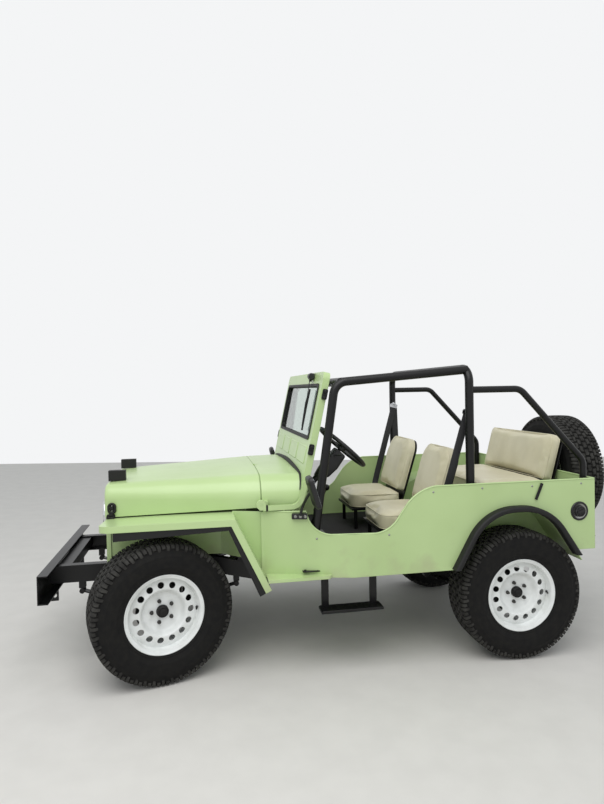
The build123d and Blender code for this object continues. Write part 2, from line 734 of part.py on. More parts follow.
# Grille panel with horizontal slots, and a pair of round headlamps
lamp_y, lamp_w, lamp_radius = 285, fender_top - 21, 89
grille_low = rail_front_top + run_gap
grille_in = 15
slot_rows, slot_pitch, slot_height = 8, 34, 17
slots_low = rail_front_top + 83
with BuildPart() as grille:
    with BuildSketch(Plane.YZ.offset(hood_front - 30)):
        crown_face(*hood_slim, grille_low, grille_in)
    extrude(amount=24)
    with BuildSketch(Plane.YZ.offset(hood_front - 31)):
        crown_face(*hood_slim, grille_low + sheet, grille_in + sheet)
    extrude(amount=21, mode=Mode.SUBTRACT)
    for row in range(slot_rows):
        with Locations((hood_front - 10, 0, slots_low + row * slot_pitch)):
            Box(60, 330, slot_height, mode=Mode.SUBTRACT)
    for side in (1, -1):
        with Locations(Location((hood_front - 10, side * lamp_y, lamp_w), (0, 90, 0))):
            Cylinder(lamp_radius + run_gap, 80, mode=Mode.SUBTRACT)
save(grille.part, "grille", body_place)

with BuildPart() as lamps:
    with Locations(Location((hood_front - 70, lamp_y, lamp_w), (0, 90, 0))):
        Cone(38, lamp_radius, 46, align=(Align.CENTER, Align.CENTER, Align.MIN))
    with Locations(Location((hood_front - 24, lamp_y, lamp_w), (0, 90, 0))):
        Cylinder(lamp_radius, 28, align=(Align.CENTER, Align.CENTER, Align.MIN))
    with Locations(Location((hood_front + 4, lamp_y, lamp_w), (0, 90, 0))):
        Cone(lamp_radius - 6, lamp_radius - 26, 14, align=(Align.CENTER, Align.CENTER, Align.MIN))
save(both_sides(lamps.part), "headlamps", body_place)

# Front fenders: twisted flat top with a turned lip that runs round its front corner, then the sloping
# rear part, the inner wall and the body-side panel


def fender_face(y_in, drop, spread):
    """Draw a fender cross-section: top sheet from y_in out to the lip, and the lip's turned edge."""
    with BuildLine() as outline:
        Polyline((y_in, -drop), (fender_out, 0), (fender_out, -fender_lip * spread),
                 (fender_out - sheet, -fender_lip * spread), (fender_out - sheet, -sheet * spread),
                 (y_in, -drop - sheet * spread), close=True)
    make_face(outline.edges())


def top_block(thick):
    """The twisted front part of the fender's top, with a given thickness."""
    with BuildPart() as block:
        for u, drop in ((fender_front, fender_drop), (apron_bend, 3)):
            with BuildSketch(Plane(origin=(u, 0, fender_top), x_dir=(0, 1, 0), z_dir=(1, 0, 0))):
                with BuildLine():
                    Polyline((apron_y, -drop), (fender_out, 0), (fender_out, -thick), (apron_y, -drop - thick),
                             close=True)
                make_face()
        loft(ruled=True)
    return block.part


def corner_plan(inset):
    """Prism of the fender's plan with its rounded front corner, made smaller by an inset on the outside."""
    ahead, out = fender_front - inset, fender_out - inset
    with BuildPart() as prism:
        with BuildSketch(Plane.XY.offset(foot_w)):
            with BuildLine():
                edge = FilletPolyline((apron_bend - inset, out), (ahead, out), (ahead, apron_y - inset),
                                      radius=fender_corner - inset)
                Polyline(edge @ 1, (apron_bend - inset, apron_y - inset), edge @ 0)
            make_face()
        extrude(amount=2 * fender_top)
    return prism.part


fender_head = (top_block(sheet) & corner_plan(0)) + ((top_block(fender_lip) & corner_plan(0)) - corner_plan(sheet))
# Sections of the rear part: origin (u, w), turn of the section, inner edge, its drop, spread at the mitre
fender_sections = (((apron_bend, fender_top), 0, apron_y, 3, 1),
                   ((kink_u, fender_top), miter, apron_y + 56, 0, 1 / cos(miter)),
                   ((foot_u, foot_w), slope, side_front_half + 12, 0, 1))
with BuildPart() as fender_tail:
    for (u, w), turn, y_in, drop, spread in fender_sections:
        with BuildSketch(Plane(origin=(u, 0, w), x_dir=(0, 1, 0), z_dir=(cos(turn), 0, sin(turn)))):
            fender_face(y_in, drop, spread)
    loft(ruled=True)
fender = fender_head + fender_tail.part
apron_front = hood_front - 30.3
grille_clear = plate(((apron_front, foot_w), (apron_front, cowl_top), (bumper_front, cowl_top),
                      (bumper_front, foot_w)), 0, hood_front_half + 4)
apron = plate(((apron_front, fender_top - 32), (apron_front, apron_bottom), (apron_bend, apron_bottom - 25),
               (apron_bend, fender_top - 6)), apron_y, apron_y + sheet)
wing_rear = side_front_half - 12
apron_wing = slab(((apron_bend, apron_y), (apron_bend, apron_y + sheet), (cowl_front + run_gap, wing_rear),
                   (cowl_front + run_gap, wing_rear - sheet)), apron_bottom - 25, fender_top - 5)
panel_front, panel_rear = kink_u + 6, side_front_half - 8
side_panel = slab(((panel_front, panel_rear - 64), (panel_front, panel_rear - 64 + sheet),
                   (cowl_front + run_gap, panel_rear), (cowl_front + run_gap, panel_rear - sheet)),
                  foot_w, lower_side_top)
under_top = plate(((fender_front + 50, fender_top - 2), (kink_u, fender_top - 2), (foot_u, foot_w - 2),
                   (foot_u, 0), (fender_front + 50, 0)), 0, tub_half + 100)
over_top = plate(((kink_u + 8, fender_top - 2), (foot_u, foot_w - 2), (foot_u, 2 * fender_top),
                  (kink_u + 8, 2 * fender_top)), 0, tub_half + 100)
behind_cowl = plate(((cowl_front + 1, 0), (cowl_front + 1, 2 * fender_top), (foot_u - 100, 2 * fender_top),
                     (foot_u - 100, 0)), 0, side_front_half + 11)
fender = fender - grille_clear + apron + (apron_wing & under_top) + (side_panel & over_top) - behind_cowl
save(fender, "left_fender", body_place)
save(mirror(fender, about=Plane.XZ), "right_fender", body_place)

# Side steps in body colour between the fender foot and the wide part of the body
sill_top = tub_bottom + 20
sill_lip = 16
sill_front = foot_u + (sill_top - sill_lip - foot_w) / tan(slope) - run_gap
sill_rear = crease_u + 120
with BuildPart() as step:
    with BuildSketch(Plane.XY.offset(sill_top)):
        with BuildLine():
            edge = FilletPolyline((sill_front, fender_out - 3), (sill_rear, fender_out - 3),
                                  (sill_rear, side_y(sill_rear) + run_gap), radius=26)
            Polyline(edge @ 1, (sill_front, side_y(sill_front) + run_gap), edge @ 0)
        make_face()
    extrude(amount=-sill_lip)
    with BuildSketch(Plane.XY.offset(sill_top - sheet)):
        with BuildLine():
            inner_out = fender_out - 3 - sheet
            edge = FilletPolyline((sill_front + 1, inner_out), (sill_rear + sheet, inner_out),
                                  (sill_rear + sheet, 0), radius=22)
            Polyline(edge @ 1, (sill_front + 1, 0), edge @ 0)
        make_face()
    extrude(amount=-sill_lip, mode=Mode.SUBTRACT)
save(both_sides(step.part), "side_sills", body_place)

# Windshield in its own leaning plane: frame with sides, header, pressed lower panel and folding arms
lean = radians(screen_lean)


def screen_u(w):
    """Forward place of the windshield's front face at height w."""
    return screen_place - tan(lean) * (w - glass_low)


def screen_block(outline, near, far):
    """Prism through the leaning windshield of an outline of (y, w) points, between two depths."""
    face = Plane(origin=(screen_u(glass_low), 0, glass_low), x_dir=(0, 1, 0), z_dir=(cos(lean), 0, sin(lean)))
    flat = [(y, (w - glass_low) / cos(lean)) for y, w in outline]
    with BuildPart() as block:
        with BuildSketch(face.offset(-far)):
            with BuildLine():
                Polyline(*flat, close=True)
            make_face()
        extrude(amount=far - near)
    return block.part


def frame_outline(half, low, high):
    """Rectangle on the windshield as (y, w) points."""
    return [(-half, low), (-half, high), (half, high), (half, low)]


screen = screen_block(frame_outline(screen_half, screen_base, screen_top), 0, screen_depth)
corners = screen.edges().filter_by(Axis((0, 0, 0), (cos(lean), 0, sin(lean))))
screen = fillet(corners.sort_by(Axis.Z)[-2:], 40)
screen = screen - screen_block(frame_outline(glass_half, glass_low, glass_high), -5, screen_depth + 5)
screen = screen - screen_block(frame_outline(screen_half - 30, screen_base - 50, glass_low - 28),
                               sheet, screen_depth + 5)
# Four raised fields pressed into the lower panel
fields, field_gap, press = 4, 26, 3
field_width = (2 * glass_half - (fields - 1) * field_gap) / fields
field_low, field_high = cowl_top + 46, glass_low - 46
for field in range(fields):
    left = -glass_half + field * (field_width + field_gap)
    raised = [(left, field_low), (left, field_high), (left + field_width, field_high),
              (left + field_width, field_low)]
    sunk = [(left + sheet, field_low + sheet), (left + sheet, field_high - sheet),
            (left + field_width - sheet, field_high - sheet), (left + field_width - sheet, field_low + sheet)]
    screen = screen + screen_block(raised, -press, sheet) - screen_block(sunk, sheet - press, sheet + 1)
with BuildPart() as under_screen:
    for u in (cowl_rear - 140, cowl_rear + 120):
        with BuildSketch(Plane.YZ.offset(u)):
            crown_face(cowl_half_rear + 6, cowl_top + seam, cowl_crown, cowl_shoulder, cowl_top - 400)
    loft(ruled=True)
screen = screen - under_screen.part
with BuildPart() as arm:
    with BuildSketch(Plane.XZ.offset(-(arm_inner + arm_width))):
        with BuildLine() as centre_line:
            FilletPolyline((screen_u(screen_base + 80) - 16, screen_base + 80), (cowl_rear + 20, pivot_w - 20),
                           (pivot_u - 10, pivot_w - 20), radius=60)
        trace(centre_line.line, line_width=26)
        with Locations((pivot_u, pivot_w)):
            Circle(26)
        with Locations((pivot_u - 6, pivot_w - 14)):
            Rectangle(34, 30)
        with Locations((pivot_u, pivot_w)):
            Circle(pin_radius + run_gap, mode=Mode.SUBTRACT)
    extrude(amount=arm_width)
screen = screen + arm.part + mirror(arm.part, about=Plane.XZ)
save(screen, "windshield_frame", body_place)
pane = frame_outline(glass_half - run_gap, glass_low + run_gap, glass_high - run_gap)
save(screen_block(pane, 12, 18), "windshield_glass", body_place)

# Roll cage: main hoop, side tubes with front legs, front cross tube and rear braces
hoop = rod([(hoop_u, hoop_half, rear_floor_top), (hoop_u, hoop_half, hoop_top),
            (hoop_u, -hoop_half, hoop_top), (hoop_u, -hoop_half, rear_floor_top)], cage_tube, hoop_bend)
leg_foot_u = cowl_front - (cage_front_half + cage_tube + cage_side_gap - inner_front) / tan(taper)
side_tube = rod([(hoop_u, cage_front_half, hoop_top - 7), (cage_corner_u, cage_front_half, cage_corner_w),
                 (leg_foot_u, cage_front_half, floor_top)], cage_tube, hoop_bend)
cross_tube = rod([(cage_corner_u - 34, -cage_front_half, cage_corner_w + 2),
                  (cage_corner_u - 34, cage_front_half, cage_corner_w + 2)], cage_tube)
brace = rod([(hoop_u, hoop_half, brace_w), (brace_bend_u, hoop_half, brace_w),
             (brace_rear_u, hoop_half, brace_low_w), (brace_rear_u, hoop_half, rear_floor_top)],
            brace_tube, hoop_bend)
floor_clear = plate(((cowl_front, 0), (cowl_front, floor_top), (rear_floor_front, floor_top),
                     (rear_floor_front, 0)), -tub_half, tub_half)
cage = hoop + cross_tube + side_tube + mirror(side_tube, about=Plane.XZ) + brace + mirror(brace, about=Plane.XZ)
cage = cage - boxes_clear - floor_clear
save(cage, "roll_cage", body_place)


def behind(line, near, far, extend=0):
    """Outline of the slab behind a leaning (u, w) line, between two distances, lengthened downward."""
    (u0, w0), (u1, w1) = line
    size = sqrt((u1 - u0) ** 2 + (w1 - w0) ** 2)
    du, dw = (u1 - u0) / size, (w1 - w0) / size
    low, high = (u0 - du * extend, w0 - dw * extend), (u1, w1)
    return [(low[0] - dw * near, low[1] + du * near), (high[0] - dw * near, high[1] + du * near),
            (high[0] - dw * far, high[1] + du * far), (low[0] - dw * far, low[1] + du * far)]


def rounded_back(line, near, far, low, high, corner, extend=0):
    """Slab behind a leaning line, between two widths, with its two upper corners rounded."""
    block = plate(behind(line, near, far, extend), low, high)
    across = block.edges().filter_by(GeomType.LINE).sort_by(Axis.Z)
    through = [edge for edge in across if abs((edge % 0).Y) < 0.5 and abs(edge.length - far + near) < 0.01]
    return fillet(ShapeList(through).sort_by(Axis.Z)[-2:], corner)


# Front seats: two cushions and two backs in fabric, on black frames that carry a thin back plate
cushion = [(cushion_front, cushion_low), (cushion_front, cushion_low + cushion_thick),
           (cushion_rear, cushion_low + cushion_thick), (cushion_rear, cushion_low)]
seat_pad = plate(cushion, seat_inner, seat_outer)
seat_back = rounded_back(back_front, 0, back_thick, seat_inner, seat_outer, back_corner)
seat_pads = Compound(children=[fillet(seat_pad.edges(), pad_rounding).solid(),
                               fillet(seat_back.edges(), pad_rounding).solid()])
save(both_sides(seat_pads), "seat_cushions", body_place)


def seat_frame(line, thick, front, rear, pan_top, floor, low, high, corner, extend):
    """Pan, four legs and back plate of one seat between two widths."""
    back_plate = rounded_back(line, thick + run_gap, thick + run_gap + 6, low + 4, high - 4, corner, extend)
    with BuildPart() as stand:
        add(plate([(front - 6, pan_top - run_gap), (rear - 26, pan_top - run_gap), (rear - 26, pan_top - 14),
                   (front - 6, pan_top - 14)], low + 6, high - 6))
        add(back_plate)
        for u in (front - 40, rear + 30):
            for y in (low + 40, high - 40):
                with Locations((u, y, floor)):
                    Cylinder(frame_tube, pan_top - 10 - floor, align=(Align.CENTER, Align.CENTER, Align.MIN))
    return stand.part


left_frame = seat_frame(back_front, back_thick, cushion_front, cushion_rear, cushion_low, floor_top,
                        seat_inner, seat_outer, back_corner - 4, 115)
bench_frame = seat_frame(bench_back_front, bench_back_thick, bench_front, bench_rear, bench_low,
                         rear_floor_top, -bench_half, bench_half, 20, 125)
save(Compound(children=[left_frame.solid(), mirror(left_frame, about=Plane.XZ).solid(), bench_frame.solid()]),
     "seat_frames", body_place)

# Rear bench
bench = [(bench_front, bench_low), (bench_front, bench_low + bench_thick),
         (bench_rear, bench_low + bench_thick), (bench_rear, bench_low)]
bench_seat = plate(bench, -bench_half, bench_half)
bench_back = rounded_back(bench_back_front, 0, bench_back_thick, -bench_half, bench_half, 30)
save(Compound(children=[fillet(bench_seat.edges(), pad_rounding).solid(),
                        fillet(bench_back.edges(), pad_rounding).solid()]), "bench_cushions", body_place)

# Steering wheel about its own column, then the column with its shaft and the gear on the left rail
column_back = (-column_way[0], 0, -column_way[2])
with BuildPart() as hand_wheel:
    Torus(hand_radius, hand_rim)
    with BuildSketch(Plane.XY.offset(-24)):
        Circle(30)
    extrude(amount=40)
    for turn in (90, 210, 330):
        with Locations(Location((0, 0, 0), (0, 0, turn))):
            Box(hand_radius, 22, 6, align=(Align.MIN, Align.CENTER, Align.CENTER))
    with BuildSketch(Plane.XY.offset(-24)):
        Circle(shaft_radius + run_gap)
    extrude(amount=26, mode=Mode.SUBTRACT)
hand_place = Plane(origin=wheel_centre, x_dir=(0, 1, 0), z_dir=column_back).location
save(hand_wheel.part, "steering_wheel", body_place * hand_place)
with BuildPart() as column:
    with Locations((0, 0, -30)):
        Cylinder(column_radius, 900, align=(Align.CENTER, Align.CENTER, Align.MAX))
    Cylinder(shaft_radius, 40, align=(Align.CENTER, Align.CENTER, Align.MAX))
bulkhead_u = cowl_front - sheet - run_gap
ahead_of_bulkhead = plate(((bulkhead_u, 0), (bulkhead_u, 2 * fender_top), (hood_front, 2 * fender_top),
                           (hood_front, 0)), 0, tub_half)
column_solid = hand_place * column.part - ahead_of_bulkhead
with BuildPart() as gear:
    with Locations((cowl_front + 71, column_y, rail_front_top)):
        Box(110, 64, 130)
under_rail = plate([(u, w + run_gap) for u, w in rail_line] + [(tub_rear, 0), (bumper_front, 0)], 250, 420)
gear_solid = gear.part - under_rail
save(Compound(children=[column_solid.solid(), *gear_solid.solids()]), "steering_column", body_place)

# Levers on a low cover and three pedals on the floor: each lever as foot, bend and top, then its knob
cover_u = cowl_front - 359
lever_lines = (([(cover_u, 0, floor_top + 20), (cover_u - 30, 0, floor_top + 115),
                 (cover_u - 130, 0, floor_top + 335)], 7, 21),
               ([(cover_u - 30, -45, floor_top + 20), (cover_u - 80, -45, floor_top + 195)], 6, 16),
               ([(cover_u - 30, -75, floor_top + 20), (cover_u - 70, -75, floor_top + 175)], 6, 16))
with BuildPart() as levers:
    with Locations((cover_u, 0, floor_top)):
        Box(230, 170, 36, align=(Align.CENTER, Align.CENTER, Align.MIN))
    for line, thick, knob in lever_lines:
        add(rod(line, thick, 40 if len(line) > 2 else None))
        with Locations(line[-1]):
            Sphere(knob)
pedal_u = cowl_front - 69
pedals = []
for y in (190, 275, 455):
    with BuildPart() as pedal:
        with Locations((pedal_u, y, floor_top)):
            Box(60, 40, 12, align=(Align.CENTER, Align.CENTER, Align.MIN))
        add(rod([(pedal_u, y, floor_top + 6), (pedal_u - 50, y, floor_top + 110)], 7))
        with Locations(Location((pedal_u - 54, y, floor_top + 118), (0, -35, 0))):
            Box(12, 62, 70)
    pedals.append(pedal.part.solid())
save(Compound(children=[levers.part.solid(), *pedals]), "floor_controls", body_place)

# Mirrors on brackets on the body side in front of the door openings
mirror_u = cowl_front - 195
mirror_y = side_y(mirror_u)
bracket_w = lower_side_top - 22
arm_bend = (mirror_u - 9, mirror_y + 28, bracket_w + 52)
side_solid = slab(((tub_rear, tub_half), (crease_u, tub_half), (cowl_front, side_front_half),
                   (cowl_front, 0), (tub_rear, 0)), tub_bottom, lower_side_top)
with BuildPart() as bracket:
    with Locations((mirror_u, mirror_y + 10, bracket_w)):
        Box(84, 44, 30)
with BuildPart() as head:
    with Locations((mirror_u - 46, mirror_y + 138, bracket_w + 147)):
        Box(52, 120, 170)
    fillet(head.edges(), 20)
mirror_arm = rod([(mirror_u, mirror_y + 22, bracket_w + 6), arm_bend,
                  (mirror_u - 34, mirror_y + 128, bracket_w + 147)], 8, 25)
side_air = Location((0, run_gap, 0)) * side_solid
save(both_sides((bracket.part - side_air) + mirror_arm + head.part), "mirrors", body_place)

# Fuel filler ring and cap on the left rear quarter
with BuildPart() as filler:
    with Locations(Location((tub_rear + 100, tub_half, tub_top - 184), (-90, 0, 0))):
        Cylinder(55, 6, align=(Align.CENTER, Align.CENTER, Align.MIN))
        Cylinder(37, 24, align=(Align.CENTER, Align.CENTER, Align.MIN))
save(filler.part, "fuel_filler", body_place)

# Engine block on a mount plate across the rails
with BuildPart() as engine:
    with Locations(((engine_front + engine_rear) / 2, 0, engine_low)):
        Box(engine_front - engine_rear, 2 * engine_half, engine_high - engine_low,
            align=(Align.CENTER, Align.CENTER, Align.MIN))
    with Locations((engine_front - 260, 0, rail_front_top)):
        Box(80, 2 * frame_half - 20, 18, align=(Align.CENTER, Align.CENTER, Align.MIN))
save(engine.part, "engine", body_place)

# Gearbox, transfer box and the two shafts to the axles
front_nose = in_body(front_axle_x - 170, hub_z)
rear_nose = in_body(rear_axle_x + 170, hub_z)
with BuildPart() as boxes_under:
    with Locations((engine_rear - run_gap, 0, gearbox_low + run_gap)):
        Box(640, 200, 88, align=(Align.MAX, Align.CENTER, Align.MIN))
    with Locations((engine_rear - 625, -80, shaft_low - 28)):
        Box(135, 320, 178, align=(Align.MAX, Align.CENTER, Align.MIN))
rear_shaft = rod([(engine_rear - 750, shaft_y, shaft_low + 40), (rear_nose[0] + 3.4, shaft_y, rear_nose[1])], 24)
front_shaft = rod([(engine_rear - 630, shaft_y, shaft_low), (front_nose[0] - 1.2, shaft_y, front_nose[1])], 24)
save(boxes_under.part + rear_shaft + front_shaft, "driveline", body_place)

# Radiator on the front cross member
with BuildPart() as radiator:
    with Locations((hood_front - 108, 0, rail_front_top - 20)):
        Box(55, 470, engine_high - rail_front_top + 97, align=(Align.CENTER, Align.CENTER, Align.MIN))
save(radiator.part, "radiator", body_place)

# Exhaust with a silencer, and a tail pipe that leaves ahead of the right rear wheel
pipe_u, tail_u = engine_rear + 120, rear_u + tyre_radius + 139
pipe_w = rail_front_top + 23
exhaust = rod([(pipe_u, -engine_half - run_gap, pipe_w), (pipe_u, exhaust_y, pipe_w),
               (cowl_front + 91, exhaust_y, exhaust_w + 8), (engine_rear - 760, exhaust_y, exhaust_w),
               (tail_u, exhaust_y, exhaust_w), (tail_u, 44 - tub_half, exhaust_w)], exhaust_radius, 40)
with BuildPart() as silencer:
    with Locations((tail_u + 180, exhaust_y, exhaust_w)):
        Cylinder(2 * exhaust_radius, 280, rotation=(0, 90, 0))
save(exhaust + silencer.part, "exhaust", body_place)

# Fuel tank under the raised rear floor
with BuildPart() as tank:
    with Locations((rear_u - 118, 0, rear_floor_top - wall - run_gap)):
        Box(500, 570, 140, align=(Align.CENTER, Align.CENTER, Align.MAX))
    fillet(tank.edges().filter_by(Axis.X), 30)
save(tank.part, "fuel_tank", body_place)

# Hanging steps below the door openings
tread_w, tread_y = tub_bottom - 186, tub_half - 66
with BuildPart() as hanging:
    with Locations((cowl_front - 471, tread_y, tread_w)):
        Box(345, 96, 12)
    for u in (cowl_front - 334, cowl_front - 609):
        with Locations((u, tread_y - 42, tread_w)):
            Box(40, 12, floor_top - wall - run_gap - tread_w, align=(Align.CENTER, Align.CENTER, Align.MIN))
save(both_sides(hanging.part), "side_steps", body_place)

# Tail lamps on the rear panel
with BuildPart() as tail_lamp:
    with Locations(Location((tub_rear, tub_half - 94, tub_bottom + 208), (0, -90, 0))):
        Cylinder(46, 30, align=(Align.CENTER, Align.CENTER, Align.MIN))
    fillet(tail_lamp.faces().sort_by(Axis.X)[0].edges(), 6)
save(both_sides(tail_lamp.part), "tail_lamps", body_place)

# Spare wheel behind the rear panel on its carrier
save(rim.part.solid(), "spare_wheel", body_place * spare_stand)
save(tyre.part, "spare_tyre", body_place * spare_stand)
carrier_end = spare_u - hub_face + run_gap
with BuildPart() as carrier:
    with Locations((tub_rear, spare_y, spare_w - 101)):
        Box(8, 320, 240, align=(Align.MAX, Align.CENTER, Align.CENTER))
    with Locations(Location((tub_rear, spare_y, spare_w), (0, -90, 0))):
        Cylinder(80, tub_rear - carrier_end, align=(Align.CENTER, Align.CENTER, Align.MIN))
    with Locations(Location((carrier_end, spare_y, spare_w), (0, -90, 0))):
        with PolarLocations(stud_circle, 5):
            Cylinder(stud_hole - 1.5, 20, align=(Align.CENTER, Align.CENTER, Align.MIN))
save(carrier.part, "spare_carrier", body_place)
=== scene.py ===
import json

import bpy
import bmesh
import numpy as np
from mathutils import Matrix
from mathutils.bvhtree import BVHTree


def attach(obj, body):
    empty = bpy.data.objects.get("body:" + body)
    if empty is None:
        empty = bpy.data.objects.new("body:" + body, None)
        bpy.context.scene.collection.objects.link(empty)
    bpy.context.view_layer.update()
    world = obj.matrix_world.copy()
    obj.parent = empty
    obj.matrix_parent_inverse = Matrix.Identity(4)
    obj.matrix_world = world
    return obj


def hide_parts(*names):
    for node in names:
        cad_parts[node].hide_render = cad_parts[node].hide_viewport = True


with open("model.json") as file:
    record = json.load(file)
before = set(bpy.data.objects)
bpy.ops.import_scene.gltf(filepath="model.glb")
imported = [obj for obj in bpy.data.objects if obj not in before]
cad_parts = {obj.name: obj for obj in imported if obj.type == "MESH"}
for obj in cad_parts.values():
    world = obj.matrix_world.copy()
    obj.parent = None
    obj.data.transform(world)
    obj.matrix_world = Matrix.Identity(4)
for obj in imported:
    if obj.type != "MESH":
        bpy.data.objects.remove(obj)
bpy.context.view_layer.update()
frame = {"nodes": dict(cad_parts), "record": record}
NODES = frame["nodes"]

# Places of the frame in millimetres; u forward, y left, w up are the body's own level axes
DATUM_X = 1077.7
RAKE = np.radians(1.6)
HUB_Z = 368
FRONT_AXLE_X = DATUM_X + 5
REAR_AXLE_X = FRONT_AXLE_X - 2032
WHEEL_Y = 621
KINGPIN_Y = 566
STEER_REST = np.radians(17)
UP = np.array([0, 0, 1.0])
SPARE_Y = 88


def on_body(points):
    """Body places (u, y, w) in millimetres after the nose-down rake, in the row's frame, in metres."""
    u, y, w = np.moveaxis(np.asarray(points, float), -1, 0)
    x = DATUM_X + u * np.cos(RAKE) + w * np.sin(RAKE)
    z = w * np.cos(RAKE) - u * np.sin(RAKE)
    return np.stack([x, y, z], -1) / 1000


def linear(code):
    """sRGB hex colour as linear RGBA."""
    value = np.array([int(code[i:i + 2], 16) for i in (1, 3, 5)]) / 255
    value = np.where(value <= 0.04045, value / 12.92, ((value + 0.055) / 1.055) ** 2.4)
    return (*value, 1.0)


def add(tree, kind, sockets=None, **settings):
    """One shader node with its settings; each socket takes a value or another node's output."""
    made = tree.nodes.new("ShaderNode" + kind)
    for name, value in settings.items():
        setattr(made, name, value)
    for name, value in (sockets or {}).items():
        if isinstance(value, bpy.types.NodeSocket):
            tree.links.new(value, made.inputs[name])
        else:
            made.inputs[name].default_value = value
    return made


def finish_of(name, **sockets):
    """A material with one Principled shader: the material, its tree, the shader and object places."""
    material = bpy.data.materials.new(name)
    material.use_nodes = True
    tree = material.node_tree
    shader = tree.nodes["Principled BSDF"]
    for socket, value in sockets.items():
        shader.inputs[socket.replace("_", " ")].default_value = value
    places = add(tree, "TexCoord").outputs["Object"]
    return material, tree, shader, places


def blend(tree, factor, low, high):
    """Colour between two, by a factor."""
    return add(tree, "Mix", {"Factor": factor, 6: low, 7: high}, data_type="RGBA").outputs[2]


def mottled(tree, places, scale, colour_a, colour_b, low=0.35, high=0.65, detail=3):
    """Colour that drifts between two shades in patches, 1/scale metres wide."""
    cloud = add(tree, "TexNoise", {"Vector": places, "Scale": scale, "Detail": detail})
    mask = add(tree, "MapRange", {"Value": cloud.outputs[0], "From Min": low, "From Max": high})
    return blend(tree, mask.outputs[0], colour_a, colour_b)


def grained(tree, shader, places, scale, strength, distance, detail=4, edge=0.0):
    """Bump from fine noise, 1/scale metres wide and distance metres deep, over edges rounded by edge metres."""
    grain = add(tree, "TexNoise", {"Vector": places, "Scale": scale, "Detail": detail})
    bump = add(tree, "Bump", {"Height": grain.outputs[0], "Strength": strength, "Distance": distance})
    if edge:
        soft = add(tree, "Bevel", {"Radius": edge}, samples=4)
        tree.links.new(soft.outputs[0], bump.inputs["Normal"])
    tree.links.new(bump.outputs[0], shader.inputs["Normal"])


def body_enamel():
    """Two-pack pale lime enamel, sprayed: glossy, with a slight orange peel of about 4 mm, rolled edges
    that catch the light, patchy haze from polishing, and road dust that dulls the panels below the sills."""
    material, tree, shader, places = finish_of("pale_lime_enamel", Coat_Weight=0.22, Coat_Roughness=0.16)
    colour = mottled(tree, places, 2.2, linear("#bad195"), linear("#b2c98c"))
    height = add(tree, "SeparateXYZ", {0: places}).outputs["Z"]
    streaks = add(tree, "TexNoise", {"Vector": places, "Scale": 7.0, "Detail": 5.0})
    level = add(tree, "Math", {0: height, 1: streaks.outputs[0]}, operation="SUBTRACT")
    dust = add(tree, "MapRange", {"Value": level.outputs[0], "From Min": 0.12, "From Max": -0.12, "To Max": 0.5})
    tree.links.new(blend(tree, dust.outputs[0], colour, linear("#a9ad86")), shader.inputs["Base Color"])
    haze = add(tree, "TexNoise", {"Vector": places, "Scale": 14.0, "Detail": 3.0})
    rough = add(tree, "MapRange", {"Value": haze.outputs[0], "To Min": 0.30, "To Max": 0.42})
    tree.links.new(rough.outputs[0], shader.inputs["Roughness"])
    grained(tree, shader, places, 250, 0.10, 0.0005, edge=0.003)
    return material


def plain_finish(name, light, dark, rough, metal=0.0, grain=400, depth=0.0004, patch=6, edge=0.0, strength=0.25,
                 **more):
    """A paint, rubber or bare metal: two close shades in patches and a fine grain."""
    material, tree, shader, places = finish_of(name, Roughness=rough, Metallic=metal, **more)
    tree.links.new(mottled(tree, places, patch, linear(light), linear(dark)), shader.inputs["Base Color"])
    grained(tree, shader, places, grain, strength, depth, edge=edge)
    return material


def cream_vinyl():
    """Cream upholstery vinyl pressed with a leather grain of about 1.5 mm, soft sheen, grey at the worn places."""
    material, tree, shader, places = finish_of("cream_vinyl", Roughness=0.42, Specular_IOR_Level=0.45,
                                               Sheen_Weight=0.08)
    base = mottled(tree, places, 5, linear("#d8d1b4"), linear("#ccc4a4"))
    smut = add(tree, "TexNoise", {"Vector": places, "Scale": 2.6, "Detail": 6.0})
    mask = add(tree, "MapRange", {"Value": smut.outputs[0], "From Min": 0.54, "From Max": 0.80, "To Max": 0.35})
    tree.links.new(blend(tree, mask.outputs[0], base, linear("#a19d86")), shader.inputs["Base Color"])
    cells = add(tree, "TexVoronoi", {"Vector": places, "Scale": 650.0})
    creases = add(tree, "TexNoise", {"Vector": places, "Scale": 22.0, "Detail": 4.0, "Distortion": 0.6})
    fine = add(tree, "Bump", {"Height": cells.outputs["Distance"], "Strength": 0.18, "Distance": 0.0004})
    wide = add(tree, "Bump", {"Height": creases.outputs[0], "Strength": 0.22, "Distance": 0.004,
                              "Normal": fine.outputs[0]})
    tree.links.new(wide.outputs[0], shader.inputs["Normal"])
    return material


def ribbed(name, low, high, direction, wave, strength, distance, **sockets):
    """A finish with straight ribs: one wave gives the bump, a painted highlight on the crests and painted shade in
    the grooves.
    """
    material, tree, shader, places = finish_of(name, **sockets)
    ribs = add(tree, "TexWave", {"Vector": places, **wave}, bands_direction=direction).outputs["Fac"]
    tree.links.new(blend(tree, ribs, linear(low), linear(high)), shader.inputs["Base Color"])
    bump = add(tree, "Bump", {"Height": ribs, "Strength": strength, "Distance": distance})
    tree.links.new(bump.outputs[0], shader.inputs["Normal"])
    return material


GREEN = body_enamel()
# Brushed-on satin enamel: soft highlights along tubes, fine brush grain
BLACK_PAINT = plain_finish("black_satin_enamel", "#0c0c0d", "#080809", 0.36, grain=450, edge=0.0015,
                           Specular_IOR_Level=0.35)
# Sprayed wheel enamel, slightly chalky from brake dust
WHEEL_WHITE = plain_finish("white_wheel_enamel", "#eceeec", "#dfe1de", 0.38, grain=300, patch=14, edge=0.0015)
